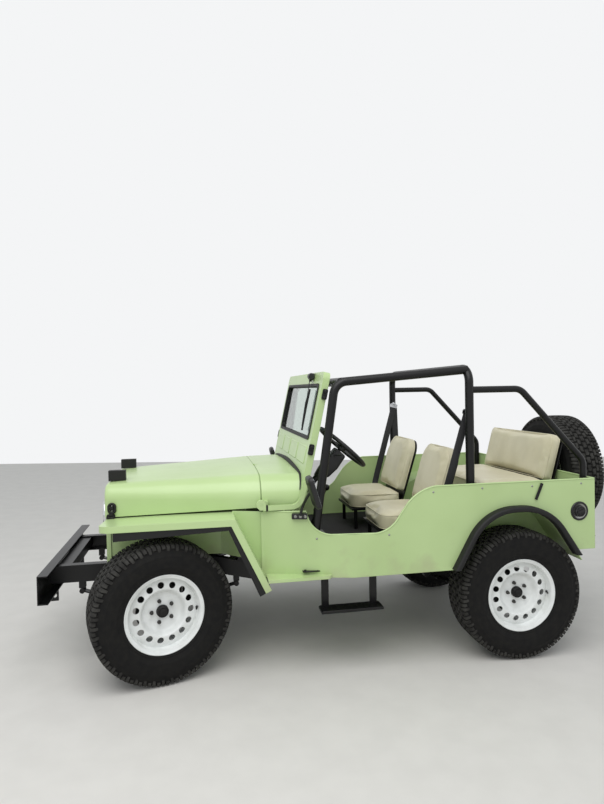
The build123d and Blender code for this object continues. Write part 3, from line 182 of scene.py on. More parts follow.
# Cured rubber: near black and dull on the walls and in the grooves; the treads that meet the road are scuffed
# grey, with a brown bloom of dust
TYRE = plain_finish("tyre_rubber", "#3a3936", "#201f1d", 0.85, grain=600, depth=0.0006, patch=24,
                    Specular_IOR_Level=0.3)
GROOVED = plain_finish("dusty_tyre_rubber", "#0b0b0b", "#151412", 0.86, grain=260, depth=0.0008, patch=30,
                       Specular_IOR_Level=0.3)
# Brush-painted black hub and drum
HUB_BLACK = plain_finish("hub_black_paint", "#0e0e0f", "#171615", 0.5, grain=350, Specular_IOR_Level=0.3)
VINYL = cream_vinyl()
# Moulded EPDM rubber: dull, faintly mottled
RUBBER = plain_finish("moulded_black_rubber", "#141414", "#0d0d0d", 0.6, edge=0.002, Specular_IOR_Level=0.4)
# Ribbed floor matting, dusty in patches; on the upright sheet at the bulkhead the same dark finish is painted shade
MATTING_AND_PAINTED_SHADE = plain_finish("floor_matting_and_painted_shade", "#262524", "#191918", 0.8, grain=160, depth=0.001, patch=5)
# Injection-moulded ABS with a fine spark-eroded grain
PLASTIC = plain_finish("grained_black_plastic", "#121213", "#0d0d0e", 0.45, grain=900)
# Sand-cast iron with light oil and dust
CAST = plain_finish("sand_cast_iron", "#3c3b38", "#2b2a28", 0.7, grain=300, depth=0.001)
STEEL = plain_finish("dull_mild_steel", "#7a7772", "#66635e", 0.5, metal=0.8)
# Zinc-plated fasteners and clips
ZINC = plain_finish("zinc_plated_steel", "#a8a9a6", "#93948f", 0.35, metal=1.0, grain=800)
CHROME = plain_finish("chrome_plate", "#d6d8da", "#cfd1d3", 0.12, metal=1.0, grain=200, strength=0.05)
ALLOY = plain_finish("radiator_alloy", "#6c6e70", "#585a5c", 0.55, metal=0.7)
# Pressed lamp glass: clear, with upright flutes 9 mm wide; its near-white colour is a painted reflection
# of the bright reflector behind it, and the lighter flute crests are painted highlights
LAMP = ribbed("fluted_lamp_glass_painted_reflection", "#c9d0d3", "#eef2f3", "Y", {"Scale": 35.0}, 0.5, 0.0015, Roughness=0.06,
              Specular_IOR_Level=0.7)
RED = plain_finish("red_lens_acrylic", "#9c120e", "#8a0d0b", 0.12, grain=90, depth=0.001)
# Slightly grey laminated glass; thin, so it barely bends what is behind it
GLASS = plain_finish("laminated_glass", "#b4c6ba", "#b4c6ba", 0.02, grain=30, strength=0.0,
                     Transmission_Weight=1.0, IOR=1.45)
MIRROR = plain_finish("mirror_glass", "#c9cfd2", "#c9cfd2", 0.03, metal=1.0, grain=30, strength=0.0)
# Woven polyester belt webbing: black, with 2 mm diagonal ribs and a dull sheen
# The rib crests are painted a shade lighter, a painted highlight, and the grooves darker, painted shade
WEB = ribbed("belt_webbing", "#141415", "#232326", "DIAGONAL", {"Scale": 160.0, "Distortion": 0.4}, 0.4, 0.0006,
             Roughness=0.7, Sheen_Weight=0.15)

# Finish of each material slot of the record
BY_SLOT = {"body_green": GREEN, "black_paint": BLACK_PAINT, "wheel_white": WHEEL_WHITE, "tyre_black": TYRE,
           "cream_vinyl": VINYL, "rubber_black": RUBBER, "screen_glass": GLASS, "lamp_glass": LAMP,
           "lamp_red": RED, "black_plastic": PLASTIC, "cast_grey": CAST, "bare_steel": STEEL, "alloy": ALLOY}
for part in frame["record"]["subparts"]:
    node = NODES[part["node"]]
    node.data.materials.clear()
    node.data.materials.append(BY_SLOT[part["material_slot"]])
# The slot of each finish for a new piece whose call names none; piece works it out but does not set it
SLOT_OF = {finish.name: slot for slot, finish in BY_SLOT.items()}
SLOT_OF.update({GROOVED.name: "tyre_black", HUB_BLACK.name: "wheel_white", MATTING_AND_PAINTED_SHADE.name: "rubber_black",
                ZINC.name: "bare_steel", CHROME.name: "bare_steel", MIRROR.name: "bare_steel",
                WEB.name: "black_plastic"})


def grid(points, round_rows=False, round_columns=False, closed=True):
    """Quads of a grid of points, each row joined to the next; closed ends get one face of many corners."""
    rows, columns = points.shape[:2]
    index = np.arange(rows * columns).reshape(rows, columns)
    wide = np.hstack([index, index[:, :1]]) if round_columns else index
    wide = np.vstack([wide, wide[:1]]) if round_rows else wide
    quads = np.stack([wide[:-1, :-1], wide[1:, :-1], wide[1:, 1:], wide[:-1, 1:]], -1).reshape(-1, 4).tolist()
    if closed and not round_rows:
        quads += [index[0, ::-1].tolist(), index[-1].tolist()]
    return points.reshape(-1, 3), quads


def joined(shapes):
    """Several shapes as one: the corner numbers of each go up by the corners before it."""
    points, faces, first = [], [], 0
    for own_points, own_faces in shapes:
        points.append(own_points)
        faces += [[corner + first for corner in face] for face in own_faces]
        first += len(own_points)
    return np.concatenate(points), faces


def unit(vectors):
    """Vectors divided by their length."""
    vectors = np.asarray(vectors, float)
    return vectors / np.linalg.norm(vectors, axis=-1, keepdims=True)


def whole_turn(steps):
    """Angles of equal steps once round."""
    return np.linspace(0, 2 * np.pi, steps, endpoint=False)


def polar(reach, turn, *height):
    """Places at a distance and an angle round an axis, and at a height along it where one is given."""
    return np.stack(np.broadcast_arrays(reach * np.cos(turn), reach * np.sin(turn), *height), -1)


def at_height(outline, height):
    """A flat outline as places at one height."""
    return np.concatenate([outline, np.full((len(outline), 1), height)], -1)


def circle(radius, steps=24):
    """Outline of a circle, or of a nut with few steps."""
    return polar(radius, whole_turn(steps))


def rounded(width, depth, corner, steps=5):
    """Outline of a rectangle with rounded corners: each corner is a quarter circle moved out to it."""
    turn = np.concatenate([np.linspace(k, k + np.pi / 2, steps) for k in np.arange(4) * np.pi / 2])
    way = np.stack([np.cos(turn), np.sin(turn)], -1)
    quarter = np.repeat(np.array([[1, 1], [-1, 1], [-1, -1], [1, -1]]), steps, axis=0)
    return way * corner + quarter * (np.array([width, depth]) / 2 - corner)


def stacked(outline, levels):
    """Closed body: the outline at each (height, inset), every point moved inward along its normal."""
    ahead, behind = np.roll(outline, -1, 0), np.roll(outline, 1, 0)
    along = unit(ahead - behind)
    inward = np.stack([-along[:, 1], along[:, 0]], -1)
    levels = np.asarray(levels, float)
    plan = outline[None] + inward[None] * levels[:, 1, None, None]
    height = np.broadcast_to(levels[:, 0, None, None], (*plan.shape[:2], 1))
    return grid(np.concatenate([plan, height], -1), round_columns=True)


def turned(profile, steps=32):
    """Surface of revolution about the third axis of a profile of (radius, height)."""
    radius, height = np.asarray(profile, float).T[:, :, None]
    return grid(polar(radius, whole_turn(steps), height), round_columns=True)


def turned_ring(profile, steps):
    """Surface of revolution of a profile whose last point joins its first."""
    points = turned(profile, steps)[0]
    return grid(points.reshape(len(profile), steps, 3), round_rows=True, round_columns=True)


def set_at(shape, origin, axis, across=None):
    """The shape with its third axis along axis and its second near across, moved to the origin. Across is
    left unless it is given, and up where the axis itself runs left or right."""
    third = unit(axis)
    if across is None:
        across = (0, 0, 1) if abs(third[1]) > 0.9 else (0, 1, 0)
    first = unit(np.cross(across, third))
    basis = np.stack([first, np.cross(third, first), third])
    return shape[0] @ basis + np.asarray(origin, float), shape[1]


def moved(shape, step):
    """The shape moved by a step."""
    return shape[0] + np.asarray(step, float), shape[1]


def spun(shape, turn):
    """The shape turned about its third axis."""
    spin = np.array([[np.cos(turn), np.sin(turn), 0], [-np.sin(turn), np.cos(turn), 0], [0, 0, 1]])
    return shape[0] @ spin, shape[1]


def placed(shapes, origin, axis, across=None):
    """Several shapes set at one place."""
    return [set_at(shape, origin, axis, across) for shape in shapes]


def smooth_path(points, steps=8, bend=0.35):
    """A path with its corners rounded: each is a parabola between points a share of the way along its runs."""
    points = np.asarray(points, float)
    rows = [points[:1]]
    share = np.linspace(0, 1, steps)[:, None]
    for before, corner, after in zip(points[:-2], points[1:-1], points[2:]):
        start, end = corner + (before - corner) * bend, corner + (after - corner) * bend
        rows.append((1 - share) ** 2 * start + 2 * share * (1 - share) * corner + share ** 2 * end)
    return np.concatenate([*rows, points[-1:]])


def along(path, section, normal=(0.0, 1.0, 0.0), ring=False):
    """A section of (side, lift), or one for each point, carried along a path: side runs along the normal,
    lift square to it."""
    path = np.asarray(path, float)
    if ring:
        tangent = unit(np.roll(path, -1, 0) - np.roll(path, 1, 0))
    else:
        tangent = unit(np.gradient(path, axis=0))
    normal = np.broadcast_to(np.asarray(normal, float), path.shape)
    side = unit(normal - (normal * tangent).sum(-1, keepdims=True) * tangent)
    lift = np.cross(tangent, side)
    section = np.asarray(section, float)
    points = path[:, None] + side[:, None] * section[..., :1] + lift[:, None] * section[..., 1:]
    return grid(points, round_rows=ring, round_columns=True)


def both(shape):
    """The shape and its mirror image about the middle plane."""
    points, faces = shape
    return joined([shape, (points * (1, -1, 1), [face[::-1] for face in faces])])


def linked(name, data):
    """A new object in the scene."""
    made = bpy.data.objects.new(name, data)
    bpy.context.scene.collection.objects.link(made)
    return made


def smoothed(mesh, crease):
    """Smooth shading, sharp at edges that bend more than the crease angle in degrees."""
    mesh.polygons.foreach_set("use_smooth", np.ones(len(mesh.polygons), bool))
    mesh.set_sharp_from_angle(angle=np.radians(crease))


def piece(name, shapes, material, body="vehicle", slot=None, hides=(), place=on_body, crease=35, more=(),
          shades=None, wall=0, mirrored=False):
    """A finished mesh: shapes joined, each with its mirror image where asked, doubles merged, faces turned
    outward, an open sheet given its wall, smooth up to the crease angle. Shades give each shape the number of
    its material. A slot is worked out, the material's own unless one is given, but the mesh is not given it."""
    if mirrored:
        shapes = [both(shape) for shape in shapes]
    slot = slot or SLOT_OF[material.name]
    points, faces = joined(shapes)
    mesh = bpy.data.meshes.new(name)
    mesh.from_pydata(place(points).tolist(), [], faces)
    if shades:
        numbers = np.repeat(shades, [len(shape[1]) for shape in shapes])
        mesh.polygons.foreach_set("material_index", numbers.astype(np.int32))
    work = bmesh.new()
    work.from_mesh(mesh)
    bmesh.ops.remove_doubles(work, verts=work.verts, dist=1e-6)
    bmesh.ops.recalc_face_normals(work, faces=work.faces)
    if wall:
        bmesh.ops.solidify(work, geom=work.faces[:], thickness=wall / 1000)
        bmesh.ops.recalc_face_normals(work, faces=work.faces)
    work.to_mesh(mesh)
    work.free()
    smoothed(mesh, crease)
    for finish in (material, *more):
        mesh.materials.append(finish)
    made = linked(name, mesh)
    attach(made, body)
    if hides:
        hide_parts(*hides)
    return made


def applied(made, kind, **settings):
    """One modifier with its settings, applied to the mesh."""
    bpy.context.view_layer.objects.active = made
    modifier = made.modifiers.new(kind.lower(), kind)
    for name, value in settings.items():
        setattr(modifier, name, value)
    bpy.ops.object.modifier_apply(modifier=modifier.name)


def mesh_arrays(made):
    """Corner places of a mesh and its faces."""
    corners = np.zeros(len(made.data.vertices) * 3)
    made.data.vertices.foreach_get("co", corners)
    return corners.reshape(-1, 3), [tuple(face.vertices) for face in made.data.polygons]


def tree_of(made):
    """Search tree of a mesh, for rays and nearest places."""
    corners, faces = mesh_arrays(made)
    return BVHTree.FromPolygons(corners.tolist(), faces)


TREES = {}


def touch(node, start, way):
    """Body place where a line from a body place, along a body direction, first meets a CAD node, or None."""
    if node not in TREES:
        TREES[node] = tree_of(NODES[node])
    origin = on_body(start)
    ahead = on_body(np.add(start, way)) - origin
    hit = TREES[node].ray_cast(origin.tolist(), unit(ahead).tolist())[0]
    if hit is None:
        return None
    x, y, z = np.array(hit) * 1000 - (DATUM_X, 0, 0)
    return np.array([x * np.cos(RAKE) - z * np.sin(RAKE), y, x * np.sin(RAKE) + z * np.cos(RAKE)])


# Small fasteners, each about the third axis with its seat at height 0
def bolt(radius=6, head=5):
    """A hexagon head with a rounded top on a thin washer."""
    return joined([stacked(circle(radius * 1.35, 20), [(0, 0), (1.2, 0), (1.5, 0.4)]),
                   stacked(circle(radius, 6), [(1, 0), (head - 1, 0), (head, radius * 0.18)])])


def dome(radius=4, height=2):
    """A pan-head screw or snap stud: the radius falls as the height rises on a quarter circle."""
    turn = np.linspace(0, np.pi / 2, 5)
    return turned(np.stack([radius * np.cos(turn), height * np.sin(turn)], -1), 14)


# Wheels: each about its own axle, the third axis pointing away from the vehicle
def at_wheel(centre, axis, place=None):
    """Place function of one wheel: its third axis on the axle, then millimetres to metres."""
    def into_frame(points):
        held = set_at((points, None), centre, axis, across=UP)[0]
        return place(held) if place else held / 1000
    return into_frame


# Where each wheel stands: the front ones are steered at rest, so their centres swing about the kingpins
SINE, COSINE = np.sin(STEER_REST), np.cos(STEER_REST)
REACH = WHEEL_Y - KINGPIN_Y
STANDS = {
    "front_left": at_wheel((FRONT_AXLE_X - REACH * SINE, KINGPIN_Y + REACH * COSINE, HUB_Z), (-SINE, COSINE, 0)),
    "front_right": at_wheel((FRONT_AXLE_X + REACH * SINE, -KINGPIN_Y - REACH * COSINE, HUB_Z), (SINE, -COSINE, 0)),
    "rear_left": at_wheel((REAR_AXLE_X, WHEEL_Y, HUB_Z), (0, 1, 0)),
    "rear_right": at_wheel((REAR_AXLE_X, -WHEEL_Y, HUB_Z), (0, -1, 0)),
    "spare": at_wheel((-2669, SPARE_Y, 931), (-1, 0, 0), on_body),
}
# Tread pitches once round
PITCHES = 46
# Tread radius at the middle plane, its fall at the tread's edge, and the groove's radius
CROWN, CROWN_DROP, TREAD_HALF, GROOVE = 367.6, 4, 95, 358.5
CHAMFER = 1.6
STUD_RADIUS, NUT_SEAT = 57.15, 31.6


def crown_of(height):
    """Tread radius at a distance from the middle plane: it falls with the square of that distance."""
    return CROWN - CROWN_DROP * (np.abs(height) / TREAD_HALF) ** 2


def carcass():
    """Tyre body: a closed profile from bead to bead, turned about the axle, with two ribs on the sidewall."""
    side = np.array([(191.2, 60), (191.2, 86), (197, 91), (205, 94), (209.6, 97.5), (215, 102.5), (219, 103.2),
                     (222, 102.2), (230, 106.6), (242, 111.6), (246, 114.4), (250, 114.5), (254, 114.0),
                     (266, 116.4), (279, 117.2), (292, 116.2), (300, 114.8), (303, 115.4), (306, 114.9),
                     (309, 112.9), (322, 108.4), (333, 104.6), (344, 100), (352, 94), (356.6, 86), (358.2, 74),
                     (GROOVE, 50), (GROOVE, 18)])
    return turned_ring(np.concatenate([side, side[::-1] * (1, -1)]), 3 * PITCHES)


def each_pitch(shift):
    """Angle of each pitch's start, as a column."""
    return ((np.arange(PITCHES) + shift) * 2 * np.pi / PITCHES)[:, None]


def repeated(points):
    """Closed bodies of equal grids, one for each first index."""
    one = grid(points[0], round_columns=True)[1]
    size = points[0].size // 3
    faces = [[corner + first * size for corner in face] for first in range(len(points)) for face in one]
    return points.reshape(-1, 3), faces


def tread_blocks(outline, shift, mirrored=False):
    """One row of tread blocks: the outline of (way round, height) repeated at each pitch, its foot in the
    groove and its top edge drawn in by a chamfer."""
    outline = np.asarray(outline, float) * ((1, -1) if mirrored else (1, 1))
    middle = outline.mean(0)
    rows = []
    for lift, draw in ((None, 0.0), (0.0, 0.02), (CHAMFER, 0.13)):
        plan = outline + (middle - outline) * draw
        reach = GROOVE - 2 if lift is None else crown_of(plan[:, 1]) - CHAMFER + lift
        rows.append(polar(reach, each_pitch(shift) + plan[None, :, 0] / CROWN, plan[:, 1]))
    return repeated(np.stack(rows, 1))


def shoulder_lugs(shift, foot_radius, foot_height, width, mirrored):
    """One lug per pitch: a four-cornered section carried from the tread's edge over the shoulder and down
    the sidewall, narrower towards its foot."""
    top = np.array([(365.6, 68), (364.8, 84), (362.4, 96), (356.5, 104.6), (346, 109.4),
                    (foot_radius, foot_height + 2.2)])
    foot = np.array([(356, 68), (354.5, 82), (350, 92), (343, 97), (336, 100), (foot_radius - 1, foot_height - 3)])
    wide = width * np.array([0.86, 0.94, 1.0, 1.0, 0.9, 0.7])
    section = []
    for line, side in ((foot, -1.12), (top, -1.0), (top, 1.0), (foot, 1.12)):
        turn = each_pitch(shift) + side * wide[None] / 2 / CROWN + np.linspace(0.012, -0.006, 6)[None]
        section.append(polar(line[:, 0], turn, line[:, 1] * (-1 if mirrored else 1)))
    return repeated(np.stack(section, 2))


def tread():
    """All blocks of the tread: five staggered rows and long and short lugs on both shoulders."""
    centre = [(-19, -12), (-5, -15), (3, -10), (18, -13), (20, 9), (6, 14), (-2, 10), (-18, 13)]
    inner = [(-17, 20), (-2, 17), (4, 22), (20, 19), (18, 39), (5, 43), (-3, 38), (-20, 41)]
    outer = [(-19, 46), (-6, 44), (1, 49), (17, 46), (20, 62), (8, 66), (0, 61), (-18, 64)]
    rows = [tread_blocks(centre, 0.0)]
    for mirrored in (False, True):
        rows += [tread_blocks(inner, 0.5, mirrored), tread_blocks(outer, 0.05, mirrored),
                 shoulder_lugs(0.27, 331, 105.2, 18, mirrored), shoulder_lugs(0.77, 341, 101.4, 19, mirrored)]
    return rows


def barrel():
    """Rim barrel: one closed profile with curled flanges, bead seats and a drop centre, turned."""
    front = [(190.5, 45), (190.5, 86), (193, 89), (203, 90), (207, 92), (208, 95), (206, 97.4), (202.5, 97.2),
             (199.5, 94.8), (194, 92.6), (188, 90.5), (185.8, 87), (185.5, 60), (183, 50.5), (168.5, 30),
             (167.5, 20)]
    rear = [(167.5, -20), (171, -26), (185.5, -40), (185.5, -88), (190, -92), (201, -93), (206, -96), (208, -94.5),
            (207.5, -91), (193, -89), (190.5, -86), (190.5, -37), (172.5, -22), (172.5, 25)]
    return turned_ring(front + rear, 120)


def disc_height(radius):
    """Height of the wheel disc over its radius: a rolled ring with the vents, then a dish down to the hub."""
    return np.interp(radius, [30, 92, 98, 103, 108, 116, 120, 124, 130, 144, 158, 165, 170, 176, 182, 187],
                     [29.5, 29.8, 31.4, 35.5, 44, 58, 62.4, 64.2, 64.4, 61.8, 58.0, 55.8, 54.0, 51.6, 48.4, 44])


def disc():
    """Wheel disc with 15 vents. Each vent is a patch between its circle and a piece of the ring: the corner
    numbers run round both, and the rows go from the circle's turned-in edge out to the piece's border."""
    vents, per_side, near, far, vent_circle = 15, 8, 125.0, 163.0, 144
    half = np.pi / vents
    sweep = whole_turn(vents * per_side) + half
    rings = []
    for radii in ((far, 165, 170, 176, 182, 187), (32, 34, 92, 98, 103, 108, 112, 116, 120, 123, near)):
        radii = np.array(radii)[:, None]
        rings.append(grid(polar(radii, sweep, disc_height(radii)), round_columns=True, closed=False))
    share = np.linspace(0, 1, per_side, endpoint=False)
    radius = np.concatenate([near + 0 * share, near + (far - near) * share, far + 0 * share,
                             far - (far - near) * share])
    angle = np.concatenate([-half + 2 * half * share, half + 0 * share, half - 2 * half * share, -half + 0 * share])
    away = np.arctan2(angle * vent_circle, radius - vent_circle)
    rows = []
    for hole, drop in ((16.2, 4.5), (16.6, 2.2), (17.3, 0.6), (17.9, 0.0)):
        reach = vent_circle + hole * np.cos(away)
        rows.append((reach, hole * np.sin(away) / vent_circle, disc_height(reach) - drop))
    rows.append((radius, angle, disc_height(radius)))
    reach, angle, height = np.stack(rows, 1)
    patches = [grid(polar(reach, angle + turn, height), round_columns=True, closed=False)
               for turn in np.arange(vents) * 2 * half]
    return joined([*rings, *patches])


def hub():
    """Brake drum with a rim groove, and the hub cap through the wheel's bore: closed profiles, turned."""
    drum = turned([(0, 14), (122, 14), (122, -4), (132, -4), (132, 4), (129, 6), (129, 9), (132, 11), (132, 18),
                   (128, 24), (120, 26.6), (30, 26.6), (0, 26.6)], 60)
    cap = turned([(0, 28), (31, 28), (31, 46), (29.5, 50), (26, 52.6), (23.5, 53), (22.5, 51.4), (21, 51.2),
                  (19, 55), (13, 57.3), (6, 58), (0, 58)], 40)
    return [drum, cap]


def lug_nuts():
    """Five nuts on the stud circle, each a cone seat, a hexagon and a rounded end, with its stud."""
    nuts = []
    for turn in np.arange(5) * 2 * np.pi / 5 + np.pi:
        nut = joined([stacked(circle(9.5, 6), [(3, 0), (14, 0), (16, 2.2)]),
                      turned([(0, 0), (8.5, 0), (10.6, 4), (0, 4)], 20),
                      turned([(0, 10), (5.6, 10), (5.6, 20), (4.6, 21.5), (0, 21.5)], 14)])
        nuts.append(set_at(nut, polar(STUD_RADIUS, turn, NUT_SEAT), UP))
    return nuts


def valve():
    """Snap-in rubber valve through the rim: its stem leans out and ends in a knurled cap."""
    stem = turned([(0, 0), (7, 0), (7, 3), (4.6, 6), (4.0, 20), (4.8, 21), (4.8, 31), (3.6, 33), (0, 33)], 16)
    return set_at(stem, (178.5, 0, 52), (-0.35, 0, 1))


for corner, stand in STANDS.items():
    body = "vehicle" if corner == "spare" else "wheel_" + corner
    rows = tread()
    piece(corner + "_tread_tyre", [carcass(), *rows], GROOVED, body, hides=(corner + "_tyre",), place=stand,
          crease=40, more=(TYRE,), shades=[0] + [1] * len(rows))
    piece(corner + "_steel_wheel", [barrel()], WHEEL_WHITE, body, hides=(corner + "_wheel",), place=stand)
    piece(corner + "_wheel_disc", [disc()], WHEEL_WHITE, body, place=stand, wall=4.6)
    if corner == "spare":
        piece("spare_wheel_nuts", lug_nuts()[:3], CAST, body, place=stand)
    else:
        piece(corner + "_drum_and_cap", hub(), HUB_BLACK, body, place=stand)
        piece(corner + "_lug_nuts", lug_nuts(), CAST, body, "wheel_white", place=stand)
    piece(corner + "_valve", [valve()], RUBBER, body, place=stand)


# Body trim, all in body places
# The windshield's lean, its origin and its axes: across, up its face, ahead of it
LEAN = np.radians(12.6)
PANE_ORIGIN = np.array([-843, 0, 1232.0])
PANE_AXES = np.array([[0, 1, 0], [-np.sin(LEAN), 0, np.cos(LEAN)], [np.cos(LEAN), 0, np.sin(LEAN)]])
COLUMN_WAY = np.array([0.672, 0, -0.7405])
HAND_CENTRE = np.array([-1089, 330, 1159.0])
# Middle of the cowl's arch, which the rays over it run to
COWL_CORE = np.array([0, 0, 880.0])
# The side panels' front edge, their half widths there and behind the doorway, and the run in which they widen
COWL_U, COWL_HALF, BODY_HALF, WIDENING = -571, 612, 734, 475


def on_screen(points):
    """Body places of windshield places: across, up the leaning face, ahead of it."""
    return on_body(PANE_ORIGIN + np.asarray(points, float) @ PANE_AXES)


def side_y(u):
    """Half width of the body side: it grows by a fixed share of the way back, up to the full half width."""
    return np.minimum(COWL_HALF + (COWL_U - np.asarray(u, float)) * (BODY_HALF - COWL_HALF) / WIDENING, BODY_HALF)


def arc_through(start, middle, end, steps=14):
    """Circle arc through three points: its centre is equally far from all three."""
    a, b, c = (np.array(point, float) for point in (start, middle, end))
    centre = np.linalg.solve(2 * np.stack([b - a, c - a]), [b @ b - a @ a, c @ c - a @ a])
    turn = np.unwrap([np.arctan2(*(point - centre)[::-1]) for point in (a, b, c)])
    turn = np.linspace(turn[0], turn[2], steps)
    return centre + np.linalg.norm(a - centre) * np.stack([np.cos(turn), np.sin(turn)], -1)


def box(centre, size, corner=2.0):
    """A block about its centre with rounded upright corners and a small chamfer above and below."""
    across, deep, high = size
    chamfer = min(1.2, high / 4)
    levels = [(-high / 2, chamfer), (chamfer - high / 2, 0), (high / 2 - chamfer, 0), (high / 2, chamfer)]
    return moved(stacked(rounded(across, deep, corner), levels), centre)


def door_corner(steps):
    """Hollow front lower corner of the doorway, in (u, w): an arc of radius 136 about a point in the opening."""
    turn = np.radians(np.linspace(-3.8, -86.6, steps))
    return np.array([-936, 859]) + 136 * np.stack([np.cos(turn), np.sin(turn)], -1)


def hollowed_sides():
    """Body sides whose doorway has the hollow corner: a prism above the corner's arc is cut, left and right,
    from a copy of the CAD sides with its doubles merged."""
    outline = np.concatenate([[(-800.3, 872)], door_corner(30), [(-929, 872)]])
    rows = [np.stack([outline[:, 0], np.full(len(outline), y), outline[:, 1]], -1) for y in (560, 762)]
    points, faces = both(grid(np.stack(rows), round_columns=True))
    held = []
    for name, source in (("body_sides_hollowed", None), ("corner_prism", (on_body(points).tolist(), [], faces))):
        mesh = bpy.data.meshes.new(name)
        work = bmesh.new()
        if source:
            mesh.from_pydata(*source)
            work.from_mesh(mesh)
        else:
            work.from_mesh(NODES["body_sides"].data)
        bmesh.ops.remove_doubles(work, verts=work.verts, dist=1e-5)
        bmesh.ops.recalc_face_normals(work, faces=work.faces)
        work.to_mesh(mesh)
        work.free()
        held.append(linked(name, mesh))
    sides, prism = held
    applied(sides, "BOOLEAN", operation="DIFFERENCE", object=prism, solver="EXACT")
    bpy.data.objects.remove(prism)
    smoothed(sides.data, 30)
    sides.data.materials.clear()
    sides.data.materials.append(GREEN)
    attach(sides, "vehicle")
    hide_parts("body_sides")


def edge_bead():
    """Rolled bead round the edge of both sides: a round section carried along the edge's line."""
    line = np.concatenate([[(-573, 850)], door_corner(16), arc_through((-1170, 723), (-1245, 747), (-1304, 807)),
                           arc_through((-1356, 879), (-1415, 929), (-1520, 964)), [(-2486, 964)]])
    path = np.stack([line[:, 0], side_y(line[:, 0]) - 2.5, line[:, 1]], -1)
    return both(along(path, circle(5.2, 12)))


def floor_mat():
    """Ribbed mat over the front floor: a section of ribs, one per 20 mm, spread to the floor's width."""
    ribs = 72
    share = np.linspace(-1, 1, 4 * ribs)
    height = np.tile([529.5, 532, 532, 529.5], ribs)
    rows = []
    for u in (-590, -1046, -1600):
        half = side_y(u) - 20
        top = np.stack([np.full(share.shape, u), share * half, height], -1)
        rows.append(np.concatenate([top, [(u, half, 525.4), (u, -half, 525.4)]]))
    return grid(np.stack(rows), round_columns=True)


def hood_line(u, lift, low, steps=40):
    """Line over the cowl at a place along the car: rays sent in from all round, from one low angle in
    degrees to the other, and where they meet the cowl moved out by a lift."""
    line = []
    for turn in np.radians(np.linspace(low, 180 - low, steps)):
        way = np.array([0, np.cos(turn), np.sin(turn)])
        hit = touch("cowl", COWL_CORE + (u, 0, 0) + 900 * way, -way)
        if hit is not None:
            line.append(hit + way * lift)
    return np.array(line)


def screen_gasket():
    """Rubber strip between the cowl and the foot of the windshield: it follows the cowl's crown, and each of
    its points is moved along the car into the windshield's leaning plane."""
    line = hood_line(-786, 9, 7.5)
    line[:, 0] = PANE_ORIGIN[0] - np.tan(LEAN) * (line[:, 2] - PANE_ORIGIN[2]) - 4
    section = np.array([(-8, -20), (-10, 0), (-8, 12), (0, 15), (7, 13), (9, 5), (10, -8), (8, -20)])
    share = np.abs(np.linspace(-1, 1, len(line)))[:, None, None]
    out = unit((line - COWL_CORE) * (0, 1, 1))
    return along(line, section * (1 - 0.55 * np.clip((share - 0.72) / 0.28, 0, 1)), normal=out)


def glass_gasket():
    """Glazing rubber: a frame between the square opening and the rounded glass, lipped on both faces."""
    middle = np.array([0, 155.7])
    outer, lip = rounded(1110, 324, 26, 8), rounded(1098, 311, 30, 8)
    inner, edge = rounded(1076, 288, 38, 8), rounded(1082, 295, 38, 8)
    rows = []
    for line, ahead in ((lip, -15), (lip, -1), (outer, 0.6), (outer, 4.5), (edge, 7), (inner, 3), (inner, -30),
                        (edge, -44), (outer, -42), (outer, -38.6), (lip, -37)):
        rows.append(at_height(line + middle, ahead))
    return grid(np.stack(rows), round_rows=True, round_columns=True)


def screen_swages():
    """Pressed lines round the four fields of the panel below the glass: a low wide bead round each rectangle."""
    fields = []
    for middle in (-421.5, -140.5, 140.5, 421.5):
        ring = at_height(rounded(252, 90, 14, 6) + (middle, -92), 0.4)
        fields.append(along(ring, circle(1, 10) * (3.2, 6.5), normal=UP, ring=True))
    return fields


def screen_clamp(u, w):
    """Windshield clamp on the frame's side: hinged strap, its pivot and a knurled knob, facing out."""
    strap = box((0, 0, 4), (30, 60, 7), 8)
    lug = box((0, -20, 10), (22, 20, 14), 5)
    knob = stacked(circle(9, 10), [(8, 0), (19, 0), (21, 2)])
    pin = set_at(bolt(6, 6), (0, -20, 17), UP)
    whole = joined([strap, lug, moved(knob, (0, 15, 0)), pin])
    return set_at(whole, (u, 618.3, w), (0, 1, 0), across=(-np.sin(LEAN), 0, np.cos(LEAN)))


def wiper():
    """Wiper in windshield places: motor can and gearbox on the header, arm with its pivot, and the blade. All of
    it is outboard of the hood's block, which the header lies on when the windshield is folded."""
    can = set_at(turned([(0, 0), (17, 0), (19, 3), (19, 44), (16, 48), (0, 48)], 24), (342, 358, 22), (1, 0, 0))
    cover = box((330, 360, 12), (52, 40, 22), 8)
    pivot = set_at(turned([(0, 0), (9, 0), (9, 12), (6, 15), (0, 15)], 18), (332, 338, 8), UP)
    arm = along([(332, 340, 20), (334, 290, 17), (337, 215, 15), (338, 170, 17)],
                [(-4, -2), (4, -2), (4, 2), (-4, 2)], normal=(1, 0, 0))
    bridge = along([(338, 262, 12), (338, 200, 18), (338, 60, 12)], [(-2.5, -3), (2.5, -3), (2.5, 3), (-2.5, 3)],
                   normal=(1, 0, 0))
    blade = along([(338, 285, 9), (338, 160, 10), (338, 35, 9)],
                  [(-4, 0), (-1, -6), (1, -6), (4, 0), (3, 4), (-3, 4)], normal=(1, 0, 0))
    return [can, cover, pivot, arm, bridge], [blade]


